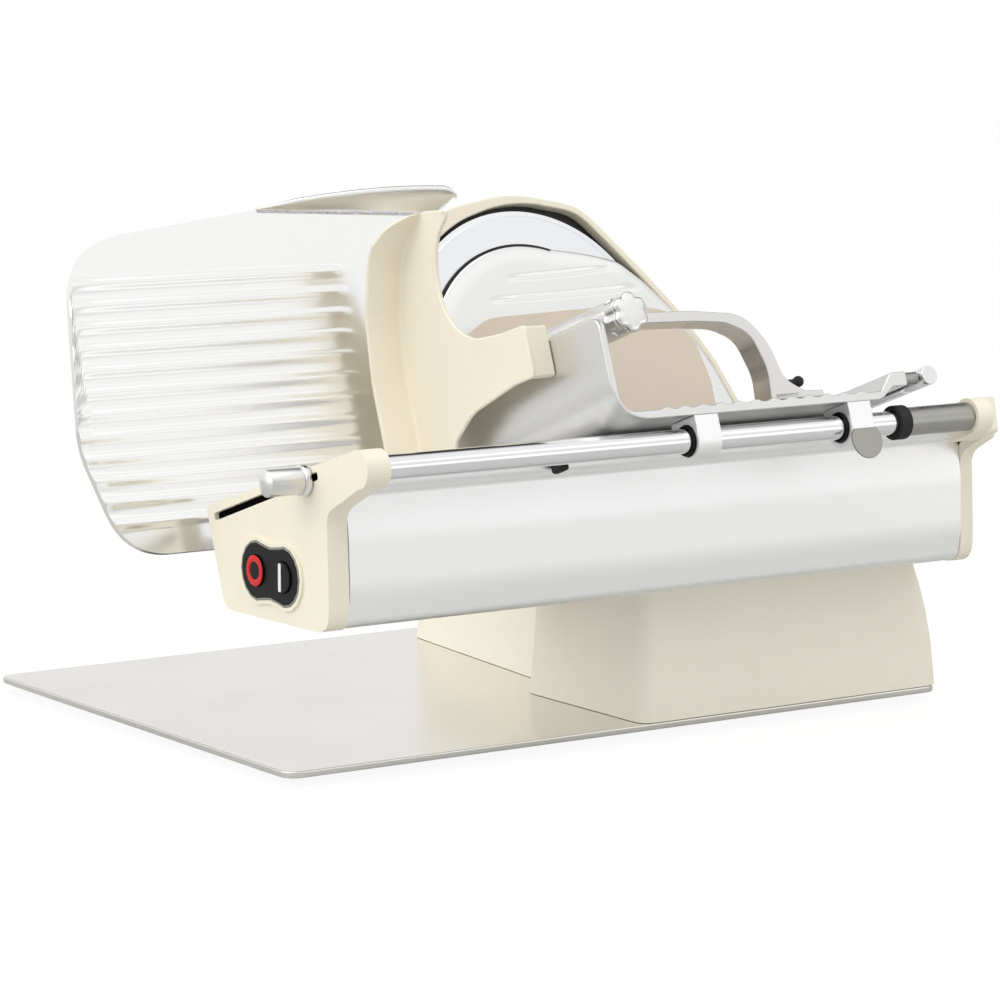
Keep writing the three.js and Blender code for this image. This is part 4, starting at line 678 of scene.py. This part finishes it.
dome_columns = cover_left + (cover_x - cover_left) * (1 - np.cos(np.linspace(0, np.pi / 2, 50)))
cover_columns = np.concatenate([dome_columns, np.linspace(cover_x, cover_right, 70)[1:]])
cover_arc = np.sqrt(np.clip(cover_radius ** 2 - (cover_columns - cover_x) ** 2, 0, None))
flank_high = column_ends(cover_flank, np.maximum(cover_columns, flank_left))[1]
# Between the round part and the flank the top edge is a cubic that leaves and meets them at their slopes.
join_start, join_end = 288, 345
join_high, join_low = cover_z + np.sqrt(cover_radius ** 2 - (join_start - cover_x) ** 2), 61.9
slope_out, slope_in = -0.186, -0.3
t = np.clip((cover_columns - join_start) / (join_end - join_start), 0, 1)
cover_join = join_high + (join_low - join_high) * t ** 2 * (3 - 2 * t) + (
    join_end - join_start) * (slope_out * t * (1 - t) ** 2 - slope_in * t ** 2 * (1 - t))
cover_top = np.where(cover_columns < join_start, cover_z + cover_arc,
                     np.where(cover_columns < join_end, cover_join, flank_high))
cover_bottom = np.maximum(np.where(cover_columns < cover_x, cover_z - cover_arc, cover_low_z), cover_low_z)
cover_share = np.linspace(0, 1, 170)[:, None]
cover_rows = cover_bottom + cover_share * (np.maximum(cover_top, cover_bottom) - cover_bottom)
# It gives the eye the smoothest of the aluminium surfaces, with long soft reflections.
polished = brushed_metal("polished_aluminium", "#e9e9e8", 0.26, (70, 1.2, 1.2), mottle=0.012, bump=0.03)
cover = thick_sheet("blade_cover_pressing",
                    leaned(cover_columns, cover_face(cover_columns, cover_rows, cover_top), cover_rows),
                    leaned(cover_columns, cover_back, cover_rows))
fit(cover, polished, "blade_cover")


# Painted shade under the blade cover's edge: a thin black strip in the rubber finish, put where the gap
# between cover and blade is in shadow. It shows as a thin black line round the arc, widest at the left.
gap_shade_left, gap_shade_up, gap_shade_out, gap_shade_in = 0.7, 0.2, 0.9, 5
gap_shade_right_end, gap_shade_left_end, gap_shade_front = 68, 196, -1.6
gap_shade_outer = arc(cover_x - gap_shade_left, cover_z + gap_shade_up, cover_radius + gap_shade_out,
                  gap_shade_right_end, gap_shade_left_end, 60)
gap_shade_inner = arc(cover_x, cover_z, cover_radius - gap_shade_in, gap_shade_left_end, gap_shade_right_end, 60)
# It gives the eye a dull black without a highlight.
black_rubber = enamel("black_rubber", "#1b1b1c", 0.75, 0.4)
# Painted shade: a dark strip standing in for the shadow in the gap, not a real part.
gap_shade_strip = slab("cover_gap_painted_shade", np.vstack([gap_shade_outer, gap_shade_inner]), gap_shade_front, cover_back + 0.2, across_y)
fit(gap_shade_strip, black_rubber, "blade_cover", stands_for=False)


# The blade body: a casting in cream enamel, a shallow well with a 4.5 mm rim round the blade, closed behind
# by a flat cover. Its left side follows the blade and its right flank runs out to the tie rod of the cover.
body_radius, body_rim, body_front, body_back = 108, 4.5, -3, 38
well_floor, web_back = 6, 10
liner_front, liner_back, liner_room = 4.6, 5.8, 4.6
rear_front, rear_back = 38.2, 41.2
body_foot = (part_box("blade_body")[0][2] - lean_origin[2]) / mm
lean_cos, lean_sin = into_blade[1], -into_blade[2]


def on_the_foot(x, z, y):
    """Places of the body's outline at y, with nothing below the level plane of the body's foot."""
    return leaned(x, y, np.maximum(z, (body_foot + y * lean_sin) / lean_cos))


body_low = (body_foot + body_front * lean_sin) / lean_cos - 1
body_flank = rounded([
    (300, 104.6), (328.5, 99.2, 45), (350.2, 75, 30), (372, 50, 30), (393.5, 23, 30), (414, -11, 30),
    (428.5, -46, 30), (435, -80, 30), (435.5, body_low)], 8)
arc_start, arc_end, arc_steps = 212, 76, 90
swell_at, swell = [104, 119, 135, 155], [0, 4, 4, 0]
body_grown = np.interp(np.linspace(arc_start, arc_end, arc_steps + 1), swell_at, swell)
body_arc = arc(blade_x, 0, body_radius + body_grown, arc_start, arc_end, arc_steps)
body_left_x, flank_from = 182.6, 303
body_path = np.vstack([[[body_left_x, body_low]], body_arc, body_flank[body_flank[:, 0] > flank_from]])
thicker_at, thicker = [0, 20, 72, 90], [0, 3, 3, 0]
body_thicker = np.interp(np.arange(len(body_path)), thicker_at, thicker)
body_bulge = np.concatenate([[0], body_grown, np.zeros(len(body_path) - len(body_grown) - 1)])
body_wall = body_rim + body_thicker + body_bulge
body_inner = body_path + body_wall[:, None] * inward(body_path)
body_inner[[0, -1], 1] = body_low
body_inner[0, 0], body_inner[-1, 0] = body_path[0, 0] + body_rim, body_path[-1, 0] - body_rim
body_ring = np.vstack([body_path, body_inner[::-1]])
body = slab("blade_body_casting", body_ring, body_front, body_back, on_the_foot)
fit(body, cream, "blade_body", ease=(1.1, 3, 50))
web = slab("blade_body_web", body_path + 1.5 * inward(body_path), well_floor, web_back, on_the_foot)
fit(web, cream, "blade_body", stands_for=False)
# A near-black finish on the well's floor: it gives the eye a dark gap round the blade.
well_black = enamel("black_well", "#131314", 0.5, 0.2)
liner_outline = body_path + liner_room * inward(body_path)
liner = slab("blade_well_floor", liner_outline, liner_front, liner_back, on_the_foot)
fit(liner, well_black, "blade_well_liner")
rear = slab("rear_cover_plate", body_path, rear_front, rear_back, on_the_foot)
fit(rear, cream, "rear_cover", ease=(0.8, 3, 50))


# The rail housing: an extruded shell of white anodised aluminium with a convex front, cut to length and
# closed by the two end caps. Its top runs forward into a lip over the rail.
shell_left, shell_right, housing_floor = 21.3, 482.7, 91.8
housing_crown = [(-35, 146), (-36.2, 114), (-33, 95), (-27, housing_floor)]
floor_front = lean_from_upright(4, housing_floor)
housing_back_y, housing_top_z, lip_back_y, lip_low_z = -12, -90, -162, -106
neck = lean_from_upright(-31, 171)
floor_back = lean_from_upright(0, housing_floor)
floor_slope = (floor_front[1] - floor_back[1]) / (floor_front[0] - floor_back[0])
floor_back_z = floor_back[1] + (housing_back_y - floor_back[0]) * floor_slope
shell_outline = rounded([
    (housing_back_y, housing_top_z, 5), (lip_back_y, housing_top_z, 5), (lip_back_y, lip_low_z, 5),
    (*neck, 3), *[(*lean_from_upright(*corner), 60) for corner in housing_crown], floor_front,
    (housing_back_y, floor_back_z, 12)], 24)
# It gives the eye a white metal with a slow sheen from the crown to the floor.
white_aluminium = brushed_metal("white_anodised_aluminium", "#fafafa", 0.46, (160, 1.0, 1.0), mottle=0.012,
                                bump=0.05, cloud=160)
housing = slab("rail_housing_extrusion", shell_outline, shell_left, shell_right, across_x)
fit(housing, white_aluminium, "rail_housing")


# The guide rail: a hard-chromed round bar, ground true, that the tray's two brackets slide on. Its ends sit
# in the bosses of the end caps.
rail_y, rail_z, rail_radius, rail_chamfer = -186.2, -99.8, 7.5, 0.5
rail_left, rail_right = 15.4, 467.2
# It gives the eye the sharpest mirror of the machine, with a thin black line along the top.
chrome = brushed_metal("hard_chrome", "#ececee", 0.12, (200, 2.0, 2.0), mottle=0.01, bump=0.02)
rail = turned("guide_rail_bar", "x", [
    (rail_left, 0), (rail_left, rail_radius - rail_chamfer), (rail_left + rail_chamfer, rail_radius),
    (rail_right - rail_chamfer, rail_radius), (rail_right, rail_radius - rail_chamfer), (rail_right, 0)],
    (rail_y, rail_z))
fit(rail, chrome, "guide_rail")


# The rest behind the rail: a small pad of black rubber, pressed onto the housing's lip, that keeps the
# rail's middle from bending back.
rest_left, rest_right, rest_low, rest_high, rest_corner = 155.2, 161.8, -108.2, -91.4, 2.6
rest_front, rest_back = -172, -162.3
rest_outline = box_outline(rest_left, rest_low, rest_right, rest_high, rest_corner, 5)
rest = slab("rail_rest_pad", rest_outline, rest_front, rest_back, across_y)
fit(rest, black_rubber, "rail_rest_bumper", ease=(0.6,))


# The switch's marks: a red ring for off and a white bar for on, printed thick on the two black push buttons.
# They sit on the buttons and move with them.
stop_middle, stop_ring_radius = lean_from_upright(43.5, 118.5), 7.4
start_middle, start_bar_half = (14.2, 118.2), 8.4
ring_width, bar_width, mark_rise, mark_root, mark_corner = 3.8, 2.9, 0.35, 0.6, 0.8
button_face_x = 3.8
# The ring is a low oval profile, turned round the button's middle.
oval = np.linspace(0, 2 * np.pi, 12, endpoint=False)
stop_mark = turned("stop_mark", "x", np.stack([
    button_face_x - mark_rise * np.sin(oval), stop_ring_radius + ring_width / 2 * np.cos(oval)], 1),
    stop_middle, 72)
bar_outline = box_outline(-bar_width / 2, -start_bar_half, bar_width / 2, start_bar_half, mark_corner, 5)
start_mark = slab("start_mark", np.array([lean_from_upright(*point) for point in bar_outline + start_middle]),
                  button_face_x - mark_rise, button_face_x + mark_root, across_x)
# Glossy enamels: they give the eye the machine's one strong red, and a plain white.
red_mark = enamel("red_enamel", "#d80f18", 0.2, 0.05, specular=0.35)
white_mark = enamel("white_enamel", "#f2f2f0", 0.3, 0.05)
fit(stop_mark, red_mark, "stop_button", stands_for=False)
fit(start_mark, white_mark, "start_button", stands_for=False)


# Painted shade behind the slot of the switch cap: a near-black strip inside the cap, put where the deep slot
# is only in shade. It makes the slot look black.
slot_shade_outline = rounded([(-147, -97.5, 1), (-12.7, -93, 1), (-12.7, -83.4, 1), (-147, -87.8, 1)], 3)
slot_shade_front, slot_shade_back = 10.2, 11
# A painted shade finish: it gives the eye no light at all.
slot_shade_finish = enamel("painted_slot_shade", "#050505", 0.95, 0.6, specular=0.05)
slot_shade_strip = slab("slot_painted_shade_strip", slot_shade_outline, slot_shade_front, slot_shade_back, across_x)
fit(slot_shade_strip, slot_shade_finish, "switch_end_cap", stands_for=False)


# The carriage tray: an extruded aluminium profile, cut off square, its floor waved so that food slides. The
# front corner of its wall is rounded off.
tray_wall_x, tray_wall, tray_wall_top, tray_under, tray_floor = 184.7, 4.5, -21.7, -86.5, 5
tray_front, tray_back = -198, -6
tray_bend, tray_floor_end, tray_edge_x, tray_edge_top, tray_edge, tray_run = 26, 386, 408, -70, 9, 10
tray_top_z = tray_under + tray_floor
wave_rise, wave_half, wave_pitch, wave_count = 1.5, 5.6, 13.5, 12
wave_first = tray_wall_x + 37.3
tray_nose, tray_step = 9, 0.9


def tray_waves():
    """The tray's floor from right to left: humps at an even pitch, each a cosine from flat to flat."""
    x = np.linspace(wave_first + (wave_count - 0.4) * wave_pitch, wave_first - wave_pitch / 2, 240)
    order = np.clip(np.round((x - wave_first) / wave_pitch), 0, wave_count - 1)
    away = np.clip(np.abs(x - wave_first - order * wave_pitch) / wave_half, 0, 1)
    return np.stack([x, tray_top_z + wave_rise * (0.5 + 0.5 * np.cos(np.pi * away))], 1)


def tray_place(x, z, y):
    """Places of the tray's outline: at the front end the wall's top corner is rounded off backwards."""
    above = np.clip(z - (tray_wall_top - tray_nose), 0, tray_nose)
    drawn_in = tray_nose - np.sqrt(np.clip(tray_nose ** 2 - above ** 2, 0, None))
    return leaned(x, y + drawn_in * (y < tray_front + 1), z)


tray_edge_low = tray_edge_top - tray_edge
tray_outline = evenly(rounded([
    (tray_wall_x, tray_wall_top, 1), (tray_wall_x, tray_under, tray_bend),
    (tray_floor_end, tray_under, tray_run), (tray_floor_end + tray_run, tray_edge_low, 5),
    (tray_edge_x, tray_edge_low, 1), (tray_edge_x, tray_edge_top, 1),
    (tray_floor_end + tray_run, tray_edge_top, 5), (tray_floor_end, tray_top_z, 5), *tray_waves(),
    (tray_wall_x + tray_wall, tray_top_z, tray_bend - 4),
    (tray_wall_x + tray_wall, tray_wall_top, 1)], 12), tray_step)
# Satin aluminium: it gives the eye a pale even grey, with lines along the extrusion too fine to count.
aluminium = brushed_metal("satin_aluminium", "#e2e2e1", 0.34, (60, 0.9, 0.9), mottle=0.02)
tray = slab("carriage_tray_profile", tray_outline, tray_front, tray_back, tray_place)
fit(tray, aluminium, "carriage_tray", ease=(0.9, 4, 50))


# The pusher arm: cast aluminium, polished. An arch with rounded edges, a flat link over the tray's far edge
# and an eye round the slide bush.
arm_x, arm_z = 425, -74
arch_front, arch_back = -187, -169
link_low, link_high, link_clear = tray_top_z + 2.4, tray_top_z + 6.4, 0.05
slide_front, slide_back = -100, -66
link_knee_x, riser_left, bridge_low, bridge_high = 336, 376, -68.8, -61.8
eye_outer, eye_bore, eye_edge = 13, 8.7, 1.2
# It gives the eye a brighter, wetter grey than the tray's.
arm_metal = brushed_metal("polished_casting", "#dedddb", 0.24, (60, 0.9, 0.9), mottle=0.02)
arch = slab("pusher_arch", rounded([
    (218.9, -19), (261.9, -20, 60), (301, -24, 40), (316, -44, 40), (322, -66, 16), (336, -75, 16),
    (350, -75), (350, link_low), (309.5, link_low, 1), (311, -60, 30), (303, -36, 30), (286, -28.5, 30),
    (262, -26.5, 30), (218.9, -25.5)], 10), arch_front, arch_back, across_y)
fit(arch, arm_metal, "pusher_arm", ease=(2.2, 5))
link_outline = rounded([
    (312, arch_front, 1), (link_knee_x, arch_front, 10), (riser_left, -126, 20), (384, slide_front, 1),
    (384, slide_back, 1), (364, slide_back, 20), (312, arch_back, 10)], 8)
link = slab("pusher_link", link_outline, link_low + link_clear, link_high, leaned)
fit(link, arm_metal, "pusher_arm", stands_for=False, ease=(0.8,))
bridge_end = arm_x - 9.5
riser_outline = rounded([
    (370, link_low, 0.5), (381, link_low, 1), (390, bridge_low, 2), (bridge_end, bridge_low),
    (bridge_end, bridge_high), (382, bridge_high, 6), (370, link_high, 2)], 6)
riser = slab("pusher_riser", riser_outline, slide_front, slide_back, across_y)
fit(riser, arm_metal, "pusher_arm", stands_for=False, ease=(0.8,))
eye = turned("pusher_eye", "y", [
    (slide_front, eye_bore), (slide_front, eye_outer - eye_edge), (slide_front + eye_edge, eye_outer),
    (slide_back - eye_edge, eye_outer), (slide_back, eye_outer - eye_edge), (slide_back, eye_bore)],
    (arm_x, arm_z))
fit(eye, arm_metal, "pusher_arm", stands_for=False)


# The pusher's handle and its end cap: a turned aluminium grip with six scallops cut into its front end for
# the fingers. The scallops run through the cap and die out as round dimples in the grip.
handle_x, handle_z = 209, -21
handle_radius, handle_front, handle_back, handle_neck, handle_end = 12, -196, -104, 5, -30.2
cap_front = -200.7
scallop_count, scallop_depth, scallop_start, scallop_run, scallop_inner = 6, 2.0, -191, 5, 5


def scallops(along, radius, angle):
    """How deep the scallops cut into the grip: each is a cosine trough across, whose depth follows a quarter
    circle to its end. The cut fades out towards the axis, so that the middle is plain."""
    past = np.clip((along - scallop_start) / scallop_run, 0, 1)
    across = (0.5 + 0.5 * np.cos(scallop_count * angle)) ** 1.6
    return scallop_depth * np.sqrt(1 - past ** 2) * across * np.clip(radius / scallop_inner - 1, 0, 1)


grip_bulk = [(y, handle_radius) for y in np.linspace(handle_front + 0.6, scallop_start + scallop_run + 1, 24)]
grip = turned("pusher_grip", "y", [
    (handle_front, 0), (handle_front, 6), (handle_front, handle_radius - 0.6), *grip_bulk,
    (handle_back - 3, handle_radius), (handle_back - 1, handle_radius - 0.8),
    (handle_back, handle_radius - 3), (handle_back, handle_neck), (handle_end, handle_neck), (handle_end, 0)],
    (handle_x, handle_z), 144, 40, scallops)
fit(grip, polished, "pusher_handle")
cap_radius = handle_radius + 0.4
grip_cap = turned("grip_end_cap", "y", [
    (cap_front, 0), (cap_front, 4), (cap_front + 0.05, 8), (cap_front + 0.3, cap_radius - 1.6),
    (cap_front + 0.8, cap_radius - 0.5), (cap_front + 1.7, cap_radius), (handle_front - 0.9, cap_radius),
    (handle_front - 0.2, cap_radius - 0.6), (handle_front - 0.2, 0)],
    (handle_x, handle_z), 144, 40, scallops)
fit(grip_cap, polished, "handle_end_cap")


# The thickness knob: turned aluminium with a domed end, screwed to a bright collar and a stem that run
# along the slot.
knob_y, knob_z, knob_radius, knob_left, knob_right, knob_dome = -129.2, -92.1, 8, -20, 2.1, 1.8
dome_radius = np.linspace(0, knob_radius - 0.5, 10)
knob = turned("thickness_knob_turning", "x", [
    *zip(knob_left - knob_dome * (1 - (dome_radius / dome_radius[-1]) ** 2), dome_radius),
    (knob_left + 0.15, knob_radius - 0.15), (knob_left + 0.5, knob_radius), (knob_right, knob_radius),
    (knob_right, 0)], (knob_y, knob_z))
fit(knob, aluminium, "thickness_knob")


# Cast, moulded and turned parts whose solids already have their true form, the cabinet and the end caps first
# among them: each is a copy of its solid, with the facets merged and every edge eased, as tools leave it.
def merged_copy(node):
    """A copy of a CAD part with its facets merged to flats."""
    work = bmesh.new()
    work.from_mesh(frame["nodes"][node].data)
    bmesh.ops.remove_doubles(work, verts=work.verts, dist=0.01 * mm)
    bmesh.ops.dissolve_limit(work, angle_limit=np.radians(0.6), verts=work.verts, edges=work.edges)
    name = node + "_part"
    return smooth_piece(name, bpy.data.meshes.new(name), work, 32)


# Stoved enamel on the cabinet, glossier than the castings, its cream painted lighter to stand in for the
# light on the cabinet's front: it gives the eye a lighter, glossier cream than the castings.
cabinet_cream_painted_light = enamel("cabinet_cream_painted_light", "#faf5e4", 0.34)
finish_of = {
    "cream_paint": cream, "anodised_aluminium": aluminium, "white_aluminium": white_aluminium,
    "chrome_steel": chrome, "blade_steel": blade_steel, "black_rubber": black_rubber,
    # Moulded plastics: they give the eye a warm cream, a flat beige and a black with little shine.
    "cream_plastic": enamel("cream_abs", "#f6f0dc", 0.38, 0.2),
    "beige_plastic": enamel("beige_abs", "#dccfbd", 0.42, 0.2),
    "black_plastic": enamel("black_nylon", "#0c0c0d", 0.38, 0.3, specular=0.2),
    # The two finishes inside: a green laminate, and the grey paint of a motor's can.
    "circuit_board": enamel("glass_epoxy_board", "#2f6b45", 0.55, 0.1),
    "motor_metal": enamel("painted_steel", "#6a6e70", 0.5, 0.3),
    # Bare steel: it gives the eye a dull mid grey beside the chrome.
    "plain_steel": brushed_metal("plain_steel", "#a8a7a2", 0.36, (3, 3, 3))}
smallest_ease = 0.4
edge_radius = {"base_cabinet": 2.5, "switch_end_cap": 1.2, "far_end_cap": 1.2, "knob_collar": 0.8}
for node in slot_of:
    if node not in fitted:
        # The cabinet takes the cream painted lighter for the light on its front.
        finish = cabinet_cream_painted_light if node == "base_cabinet" else finish_of[slot_of[node]]
        fit(merged_copy(node), finish, node, ease=(edge_radius.get(node, smallest_ease),))
